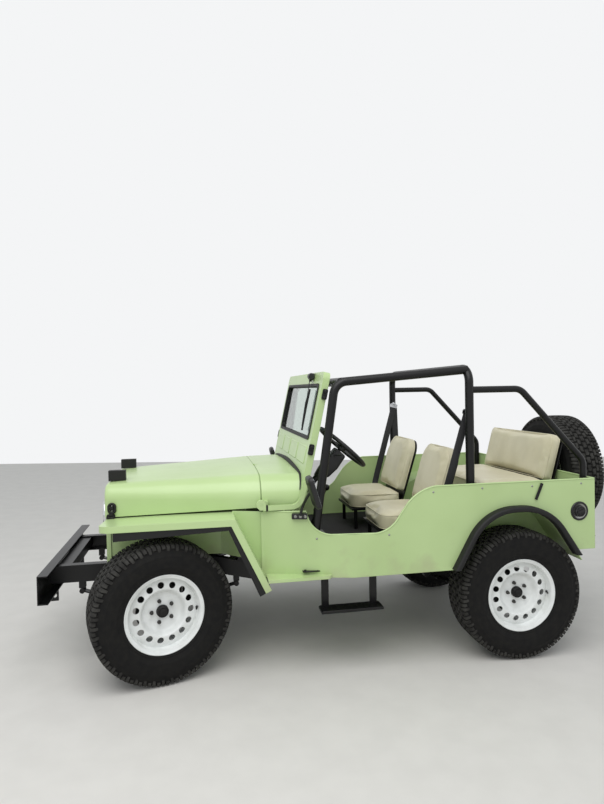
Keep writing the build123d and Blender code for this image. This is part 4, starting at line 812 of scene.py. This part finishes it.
def mirror():
    """Left door mirror: bracket with three bolts, bent arm, head shell and glass, each in body places."""
    bracket = set_at(box((0, 0, 11), (84, 30, 22), 5), (-766, 662.5, 828), (0.249, 0.968, 0), across=UP)
    bolts = [set_at(bolt(6, 5), (-766 + step, 684.5 - step * 0.257, 828), (0.249, 0.968, 0)) for step in (-26, 0, 26)]
    knee = smooth_path([(-766, 684, 834), (-775, 690, 880), (-795, 768, 958), (-806, 790, 975)], 8)
    arm = along(knee, circle(7.5, 14))
    shell = stacked(rounded(120, 172, 24, 7), [(-14, 3), (-16, 0), (-10, -0.1), (2, 1), (8, 6), (12, 16), (14, 34)])
    pane = stacked(rounded(108, 160, 19, 7), [(-17.4, 0), (-14, 0)])
    head, pane = placed((shell, pane), (-812, 800, 975), (0.96, 0, -0.27), across=UP)
    return [bracket, arm, head], bolts, [pane]


def filler():
    """Fuel filler: pressed ring on the side, dark cup, and a cap with a grip bar and 24 small lobes."""
    # The ring goes with the dark parts: its black is painted shade of a recessed dish
    ring = turned([(55, 0), (55, 3), (52, 6.5), (47, 7.5), (44, 5.5), (43, 0)], 48)
    cup = turned([(0, 0.4), (43.4, 0.4), (43.4, 3.2), (40, 1.5), (0, 1.5)], 40)
    turn = whole_turn(96)
    cap = stacked(polar(31 + 1.1 * np.cos(24 * turn), turn), [(1, 0), (15, 0), (17.5, 2), (18, 6)])
    grip = box((0, 0, 20), (46, 12, 8), 5)
    seat = (-2390, BODY_HALF, 780), (0, 1, 0)
    return placed([ring], *seat) + placed((cap, grip), *seat, across=(0.3, 0, 1)), placed([cup], *seat)


def hood_latch():
    """Hood catch on the left: an oval link round its ribbed keeper on the hood, with two screws, and the
    body of the catch below the hood's edge with its lever and hook."""
    y = touch("hood", (243, 700, 875), (0, -1, 0))[1]
    link = along(at_height(rounded(36, 52, 17, 8), 11), circle(6, 12), normal=UP, ring=True)
    keeper = [box((0, 0, 5), (24, 38, 10), 9), box((0, 3, 12), (18, 18, 8), 5)]
    upper = placed((link, *keeper), (243, y, 874), (0, 1, 0))
    screws = [set_at(dome(3.5, 2), (243, y + 10, w), (0, 1, 0)) for w in (860, 888)]
    body = box((0, 0, 8), (46, 38, 16), 8)
    lever = box((2, -4, 21), (34, 26, 12), 7)
    hook = box((0, 18, 16), (26, 10, 18), 4)
    return upper, screws, placed((body, lever, hook), (249, y - 2, 822), (0, 1, 0))


def lamp_parts(radius, seat, axis):
    """Round lamp about its axis: plated ring and a lens whose crown falls with the square of the radius."""
    inner = radius - 12
    ring = turned([(radius, -6), (radius, 4), (radius - 2, 9), (radius - 7, 11.5), (inner, 9.5),
                   (radius - 13, -6)], 64)
    reach = np.linspace(0, inner, 10)
    crown = np.stack([reach, 19 - 13 * (reach / inner) ** 2], -1)
    lens = turned(np.concatenate([[(0, 0)], [(inner, 0)], crown[::-1]]), 64)
    return set_at(ring, seat, axis), set_at(lens, seat, axis)


def gauge(radius, y, w):
    """Panel gauge facing the driver: bezel, dial, twelve marks and hand."""
    bezel = turned([(radius, 0), (radius, 5), (radius - 2, 8), (radius - 5, 8), (radius - 6, 5), (radius - 6, 0)], 40)
    dial = turned([(0, 1), (radius - 5, 1), (radius - 5, 2.5), (0, 2.5)], 32)
    mark = box((0, radius - 13, 2.9), (1.6, 7, 0.8), 0.5)
    marks = [spun(mark, turn) for turn in np.radians(np.linspace(-130, 130, 12))]
    hand = spun(box((0, radius * 0.32, 3.4), (1.8, radius * 0.72, 1), 0.6), -0.9)
    return placed((bezel, dial, joined([*marks, hand])), (-792, y, w), (-1, 0, 0), across=UP)


def flange(u, y, w):
    """Foot plate of a cage tube: a square plate, four bolts and the weld round the tube."""
    weld = turned([(22, 5), (31, 5.5), (30, 9), (26, 13), (22, 14)], 24)
    bolts = [moved(bolt(6.5, 6), (a, b, 6)) for a in (-34, 34) for b in (-34, 34)]
    return moved(joined([box((0, 0, 3), (96, 96, 6), 8), weld, *bolts]), (u, y, w))


hollowed_sides()
piece("rolled_edges", [edge_bead(), along([(-2487.5, -731, 964), (-2487.5, 731, 964)], circle(5.2, 12), (1, 0, 0))],
      GREEN)
seam = set_at(box((0, 0, 0.3), (22, 358, 0.9), 1), (COWL_U, COWL_HALF, 671), (0.1, 1, 0), across=UP)
piece("filled_side_seams", [seam], GREEN, mirrored=True)
# Floor mat, and an upright dark sheet against the bulkhead: the sheet is painted shade, darkening the footwell
piece("floor_mats_and_painted_shade_sheet", [floor_mat(), box((-578, 0, 706), (5, 1100, 340), 2)], MATTING_AND_PAINTED_SHADE)
piece("screen_panel_swages", screen_swages(), GREEN, "windshield", place=on_screen)
piece("windshield_foot_rubber", [screen_gasket()], RUBBER)
piece("glazing_rubber", [glass_gasket()], RUBBER, "windshield", place=on_screen)
# Strip in the seam between the hood and the cowl, just below the cowl's skin
strip = hood_line(-572.5, -6.8, 3.5, 60)
strip[:, 0] = -568.2
piece("hood_seam_strip", [along(strip, circle(2.2, 10), normal=(1, 0, 0))], GREEN)
piece("windshield_clamps", [screen_clamp(-925, 1481), screen_clamp(-843, 1179)], BLACK_PAINT, "windshield",
      mirrored=True)
metal, rubber = wiper()
piece("wiper_motor_and_arm", metal, PLASTIC, "windshield", place=on_screen)
piece("wiper_blade", rubber, RUBBER, "windshield", place=on_screen)
dark, bolts, pane = mirror()
piece("door_mirrors", dark, PLASTIC, hides=("mirrors",), mirrored=True)
piece("mirror_bolts", bolts, ZINC, mirrored=True)
piece("mirror_panes", pane, MIRROR, mirrored=True)
dark, cup = filler()
# The ring is black, painted shade: it stands for the shadow in a body-coloured pressed dish that the flat side has
# not got
piece("filler_cap_and_painted_shade_ring", dark, PLASTIC, hides=("fuel_filler",))
piece("filler_cup", cup, ZINC)
dark, screws, catch = hood_latch()
piece("hood_catches", dark, RUBBER, "hood", mirrored=True)
piece("hood_catch_screws", screws, ZINC, "hood", mirrored=True)
piece("catch_bodies", catch, RUBBER, mirrored=True)
piece("hinge_clips", [box((-592, 629, 872), (12, 27, 31), 3)], BLACK_PAINT, mirrored=True)
studs = [set_at(dome(6, 3.2), (u, float(side_y(u)) + 0.2, w), (0, 1, 0))
         for u, w in ((-1502, 932), (-1791, 940), (-2095, 937), (-2403, 939), (-854, 703), (-1245, 712))]
piece("snap_studs", studs, ZINC, mirrored=True)
bar = along([(-2153, 741, 952), (-2114, 741, 861)], rounded(8, 17, 3.5, 4))
ends = [set_at(dome(4.5, 3), place, (0, 1, 0)) for place in ((-2147, 744, 938), (-2120, 744, 875))]
piece("quarter_bar", [bar, *ends], BLACK_PAINT)
for lamp, radius, (u, y, w), way, lens_finish in (("headlamp", 89, (289, 285, 822), 1, LAMP),
                                                  ("tail_lamp", 46, (-2497, 640, 700), -1, RED)):
    seats = [((u, side * y, w), (way, 0, 0)) for side in (1, -1)]
    rings, lenses = zip(*[lamp_parts(radius, *seat) for seat in seats])
    piece(lamp + "_rings", rings, CHROME, hides=(lamp + "s",))
    piece(lamp + "_lenses", lenses, lens_finish)
    if lamp == "headlamp":
        bucket = turned([(0, -72), (38, -72), (88, -26), (88, 0), (74, 0), (0, -2)], 40)
        piece("headlamp_buckets", [set_at(bucket, *seat) for seat in seats], BLACK_PAINT)
bezels, dials, marks = zip(*[gauge(*place) for place in (
    (46, 0, 968), (27, -92, 992), (27, -92, 936), (27, 92, 992), (27, 92, 936))])
piece("gauge_bezels", bezels, CHROME)
piece("gauge_dials", dials, PLASTIC)
piece("gauge_marks", marks, WHEEL_WHITE)
feet = [flange(-822, 644, 525)]
for u in (-1752, -2462):
    under = [touch(node, (u, 668, 1300), -UP) for node in ("wheel_boxes", "body_floor")]
    feet.append(flange(u, 668, next(place[2] for place in under if place is not None)))
piece("cage_foot_plates", feet, BLACK_PAINT, mirrored=True)


# Cushions, each in its own place: across, along its length, and out of its face from the panel behind it
def cushion_place(origin, length, out):
    """Place function of a cushion from its origin, the way of its length and the way out of its face."""
    axes = np.array([(0, 1, 0), unit(length), unit(out)])
    return lambda points: on_body(np.asarray(origin, float) + np.asarray(points, float) @ axes)


def cushion_outline(width, length, far, near, steps=10):
    """Rectangle whose two far corners have one radius and its near ones another."""
    parts = []
    for turn, radius, x, y in ((0, far, 1, 1), (1, far, -1, 1), (2, near, -1, -1), (3, near, 1, -1)):
        centre = (np.array([width, length]) / 2 - radius) * (x, y)
        parts.append(centre + polar(radius, np.linspace(turn, turn + 1, steps) * np.pi / 2))
    return np.concatenate(parts)


def cushion(name, width, length, thick, far, near, place, cap, hides, voxel=0.006):
    """A vinyl cushion: a body 5 mm small all round is remeshed evenly and blown up by a short cloth run. Each
    point's move is held to the cap, in millimetres, the back stays flat against its panel, and the face is
    crowned: its lift falls with the square of the way out to each side. It is evened and divided once. Then a
    welt tube goes round both edges of its border, each point of it on the nearest place of the cushion."""
    small, crown = 5, 9
    outline = cushion_outline(width - 2 * small, length - 2 * small, far, near)
    inner = thick - 2 * small
    levels = [(0.5, 20), (1.5, 10), (4, 3), (9, 0), (small + inner - 12, 0), (small + inner - 6, 2),
              (small + inner - 2, 7), (small + inner, 18)]
    made = piece(name, [stacked(outline, levels)], VINYL, hides=hides, place=place)
    applied(made, "REMESH", mode="VOXEL", voxel_size=voxel)
    before = mesh_arrays(made)[0]
    cloth = made.modifiers.new("cloth", "CLOTH")
    cloth.settings.use_pressure = True
    cloth.settings.uniform_pressure_force = 4.0
    cloth.settings.tension_stiffness = cloth.settings.compression_stiffness = 60
    cloth.settings.shear_stiffness, cloth.settings.bending_stiffness = 40, 10
    cloth.settings.effector_weights.gravity = 0
    cloth.point_cache.frame_start, cloth.point_cache.frame_end = 1, 20
    for step in range(1, 21):
        bpy.context.scene.frame_set(step)
    bpy.ops.object.modifier_apply(modifier="cloth")
    bpy.context.scene.frame_set(1)
    move = mesh_arrays(made)[0] - before
    swell = np.linalg.norm(move, axis=1, keepdims=True)
    kept = before + move * np.minimum(1, cap / 1000 / np.maximum(swell, 1e-9))
    foot = place(np.zeros(3))
    across, on, ahead = [(kept - foot) @ unit(place(np.eye(3)[axis]) - foot) * 2000 / span
                         for axis, span in enumerate((width, length, 2 * thick))]
    lift = crown / 1000 * np.clip(ahead, 0, 1) ** 2 * np.clip(1 - across ** 2, 0, 1) * np.clip(
        1 - on ** 2, 0, 1) + np.maximum(0, -ahead) * thick / 1000
    made.data.vertices.foreach_set("co", (kept + lift[:, None] * out_of(place)).ravel())
    applied(made, "SMOOTH", factor=0.5, iterations=12)
    applied(made, "SUBSURF", levels=1, render_levels=1)
    made.data.polygons.foreach_set("use_smooth", np.ones(len(made.data.polygons), bool))
    tree = tree_of(made)
    edge = cushion_outline(width - 4, length - 4, far, near, 16)
    welts = []
    for height in (small - 1, thick - 7):
        line = np.array([tree.find_nearest(point.tolist())[0] for point in place(at_height(edge, height))]) * 1000
        apart = np.linalg.norm(line - np.roll(line, 1, 0), axis=1) > 0.5
        welts.append(along(line[apart], circle(3.1, 8), normal=out_of(place), ring=True))
    piece(name + "_welts", welts, VINYL, place=lambda places: places / 1000)


def out_of(place):
    """Direction of a cushion's face in the frame."""
    return unit(place(np.array([0, 0, 1.0])) - place(np.zeros(3)))


# Lengths and faces of the leaning backs, and the seats' middle line
BACK_WAY, BACK_OUT = (-106, 0, 344), (344, 0, 106)
BENCH_WAY, BENCH_OUT = (-75, 0, 279), (279, 0, 75)
SEAT_Y = 335
for side, word in ((1, "left"), (-1, "right")):
    back_foot = (-1641, side * SEAT_Y, 978) - 66 * unit(BACK_OUT)
    base = cushion_place((-1442, side * SEAT_Y, 680), (1, 0, 0), UP)
    cushion(word + "_seat_cushion", 414, 360, 100, 72, 26, base, 14, ("seat_cushions",) if side > 0 else ())
    cushion(word + "_seat_back", 414, 382, 66, 98, 22, cushion_place(back_foot, BACK_WAY, BACK_OUT), 13, ())
bench_foot = (-2408.5, 0, 1057.5) - 75 * unit(BENCH_OUT)
cushion("bench_cushion", 810, 440, 110, 34, 22, cushion_place((-2176, 0, 800), (1, 0, 0), UP), 15,
        ("bench_cushions",), 0.008)
cushion("bench_back", 810, 310, 75, 42, 22, cushion_place(bench_foot, BENCH_WAY, BENCH_OUT), 15, (), 0.008)


# Belts: from a loop on the hoop down to the buckle by the seat, and down the hoop to the retractor
def belt(side, top, low, lap):
    """Webbing, plated loop and tongue, and black retractor of one belt."""
    hoop = (-1752, side * 640, top)
    front = [(-1750, side * 638, top - 14), (low[0], side * 604, low[1]), (lap[0], side * 572, lap[1])]
    down = [(-1756, side * 640, top - 14), (-1768, side * 640, 990), (-1768, side * 642, 800)]
    web = [along(smooth_path(front, 8, 0.2), rounded(46, 1.6, 0.7, 3), normal=(1, 0, 0.3)),
           along(smooth_path(down, 8, 0.2), rounded(46, 1.6, 0.7, 3), normal=(1, 0, 0))]
    plate_bar = set_at(box((0, 0, 0), (30, 60, 3), 8), hoop, (0, side, 0), across=(1, 0, 0.2))
    anchor = set_at(bolt(9, 8), np.array(hoop) + (0, side * 2, 16), (0, -side, 0))
    tongue = set_at(box((0, 0, 0), (56, 34, 3), 5), (lap[0] + 4, side * 574, lap[1] + 6), (0.3, side, 0.1),
                    across=(-0.5, 0, 1))
    reel = box((-1772, side * 636, 760), (56, 60, 84), 9)
    stalk = set_at(box((0, 0, 0), (30, 62, 20), 7), (lap[0] + 14, side * 566, lap[1] - 34), (0.1, side, 0.1),
                   across=(-0.3, 0, 1))
    return joined(web), joined([plate_bar, anchor, tongue]), joined([reel, stalk])


webs, plates, blocks = zip(belt(1, 1363, (-1647, 949), (-1600, 760)), belt(-1, 1368, (-1586, 810), (-1560, 740)))
piece("belt_webbing", webs, WEB)
piece("belt_plates", plates, CHROME)
piece("belt_reels_and_buckles", blocks, PLASTIC)


# Steering wheel and column, about the column's axis
def hand_wheel():
    """Rim with finger swells on its inner side: its tube radius is 12.2 + 0.35 cos of 40 times the turn.
    Three flat spokes that dish down to a hub with a domed horn button."""
    turn, ring, rim_radius = whole_turn(200)[:, None], whole_turn(14)[None], 168
    tube = 12.2 + 0.35 * np.cos(40 * turn) * (np.cos(ring) < 0.2)
    rim = polar(rim_radius + tube * np.cos(ring), turn, tube * np.sin(ring))
    shapes = [grid(rim, round_rows=True, round_columns=True)]
    for angle in np.radians((90, 210, 330)):
        way = np.array([-np.sin(angle), np.cos(angle), 0])
        across = np.array([-way[1], way[0], 0])
        path = [way * out + UP * dish for out, dish in ((24, 2), (60, 1), (110, 0), (162, 0))]
        shapes.append(along(path, rounded(26, 5, 2.2, 4), normal=across))
    hub = turned([(0, -24), (27, -24), (30, -20), (30, 8), (26, 13), (20, 14), (0, 14)], 40)
    button = turned([(0, 12), (19, 12), (19, 16), (16, 18.5), (9, 20), (0, 20.4)], 32)
    return placed((*shapes, hub, button), HAND_CENTRE, -COLUMN_WAY)


def column_shroud():
    """Shroud under the wheel: a rounded section that tapers down the column, with its lower half deeper,
    a switch stalk on each side and the ignition barrel."""
    rows = []
    for down, width, high, drop in ((-30, 60, 70, 8), (-36, 68, 82, 10), (-120, 74, 92, 14), (-190, 66, 80, 12),
                                    (-232, 44, 48, 2), (-238, 38, 40, 0)):
        rows.append(at_height(rounded(high, width, 14, 6) - (drop, 0), down))
    shell = grid(np.stack(rows), round_columns=True)
    stalks = []
    for side in (1, -1):
        path = [(6, side * 30, -70), (10, side * 90, -62), (12, side * 150, -52)]
        stalks += [along(path, circle(3.6, 12), normal=UP),
                   set_at(turned([(0, 0), (6, 2), (7, 8), (6, 26), (0, 28)], 18), (12, side * 146, -53),
                          (0.05, side, 0.15))]
    lock = set_at(turned([(0, 0), (14, 0), (14, 10), (12, 13), (0, 13)], 24), (-24, -30, -110), (0, -1, 0))
    return placed((shell, *stalks, lock), HAND_CENTRE, -COLUMN_WAY)


piece("hand_wheel_rim", hand_wheel(), PLASTIC, "hand_wheel", hides=("steering_wheel",))
piece("column_shroud", column_shroud(), PLASTIC)


def bellows(u, y, w, lean):
    """Lever boot that leans back: its radius falls in a cone with five rings of 2 mm."""
    height = np.linspace(0, 60, 41)
    reach = 34 - 20 * height / 60 + 2 * np.cos(height * 2 * np.pi / 12)
    profile = np.concatenate([[(0, 0)], np.stack([reach, height], -1), [(0, 60)]])
    return set_at(turned(profile, 28), (u, y, w), (-lean, 0, 1))


boots = [bellows(-930, 0, 558, 0.28), bellows(-962, -45, 558, 0.28), bellows(-962, -75, 556, 0.25)]
piece("lever_boots", boots, RUBBER)
ribs = [box((0, step, 10), (58, 4, 4), 1.5) for step in (-22, -11, 0, 11, 22)]
pad = joined([box((0, 0, 5), (72, 64, 7), 6), *ribs])
pads = [set_at(pad, (-694, y, 643), (-0.82, 0, 0.57)) for y in (190, 275, 455)]
piece("pedal_rubbers", pads, RUBBER)

# Steps: raised bars on the tread and a lip along both of its edges
STEP_U, STEP_Y = -1042, 668
bars = [box((STEP_U + row * 36, STEP_Y, 313.2), (8, 84, 4), 3) for row in range(-4, 5)]
lips = [box((STEP_U, STEP_Y + way, 311), (338, 5, 9), 2) for way in (-45, 45)]
piece("step_treads", bars + lips, BLACK_PAINT, mirrored=True)

# Bolts of the spare carrier
heads = [set_at(bolt(7, 6), (-2498, SPARE_Y + y, 830 + w), (-1, 0, 0)) for y in (-140, 140) for w in (-96, 0, 96)]
piece("bolt_heads", heads, ZINC)


def studio():
    """Pale floor, soft light from a broad sky and one large lamp overhead, seen against white."""
    world = bpy.data.worlds.new("soft_sky")
    bpy.context.scene.world = world
    world.use_nodes = True
    tree = world.node_tree
    seen = add(tree, "LightPath")
    sky = add(tree, "Background", {"Color": linear("#e9eef3"), "Strength": 0.72})
    white = add(tree, "Background", {"Color": linear("#f4f5f6"), "Strength": 1.0})
    direct = add(tree, "Math", {0: seen.outputs["Is Camera Ray"], 1: seen.outputs["Is Transmission Ray"]},
                 operation="MAXIMUM")
    seen_so = add(tree, "Math", {0: direct.outputs[0], 1: seen.outputs["Is Glossy Ray"]}, operation="MAXIMUM")
    mixed = add(tree, "MixShader", {0: seen_so.outputs[0], 1: sky.outputs[0], 2: white.outputs[0]})
    tree.links.new(mixed.outputs[0], tree.nodes["World Output"].inputs[0])
    mesh = bpy.data.meshes.new("floor")
    mesh.from_pydata([(-9, -9, 0), (9, -9, 0), (9, 9, 0), (-9, 9, 0)], [], [[0, 1, 2, 3]])
    floor = linked("floor", mesh)
    floor.data.materials.append(plain_finish("plain_floor", "#d8d5cf", "#d4d1cb", 0.8))
    lamp = bpy.data.lights.new("overhead", "AREA")
    lamp.size, lamp.energy = 5.0, 215
    holder = linked("overhead", lamp)
    holder.location = (1.5, 3.2, 5.2)
    holder.rotation_euler = (np.radians(-28), np.radians(14), 0)


def camera():
    """The photograph's camera: its place and turn solved from the wheels, in the row's frame."""
    yaw, pitch, roll = 0.1749, -0.0169, 0.0087
    place = (DATUM_X - 202.2, 3759.8, 1517.6)
    focal_pixels, long_side = 583.46, 804
    ahead = np.array([-np.sin(yaw), -np.cos(yaw), 0])
    right = np.array([-np.cos(yaw), np.sin(yaw), 0])
    look = ahead * np.cos(pitch) + UP * np.sin(pitch)
    over = UP * np.cos(pitch) - ahead * np.sin(pitch)
    side = right * np.cos(roll) + over * np.sin(roll)
    top = over * np.cos(roll) - right * np.sin(roll)
    data = bpy.data.cameras.new("camera")
    data.sensor_width = 36
    data.lens = focal_pixels / long_side * data.sensor_width
    data.clip_start, data.clip_end = 0.05, 100
    holder = linked("camera", data)
    matrix = np.eye(4)
    matrix[:3, :3] = np.stack([side, top, -look], 1)
    matrix[:3, 3] = np.array(place) / 1000
    holder.matrix_world = Matrix(matrix.tolist())
    bpy.context.scene.camera = holder


studio()
camera()
bpy.context.scene.view_settings.view_transform = "Standard"
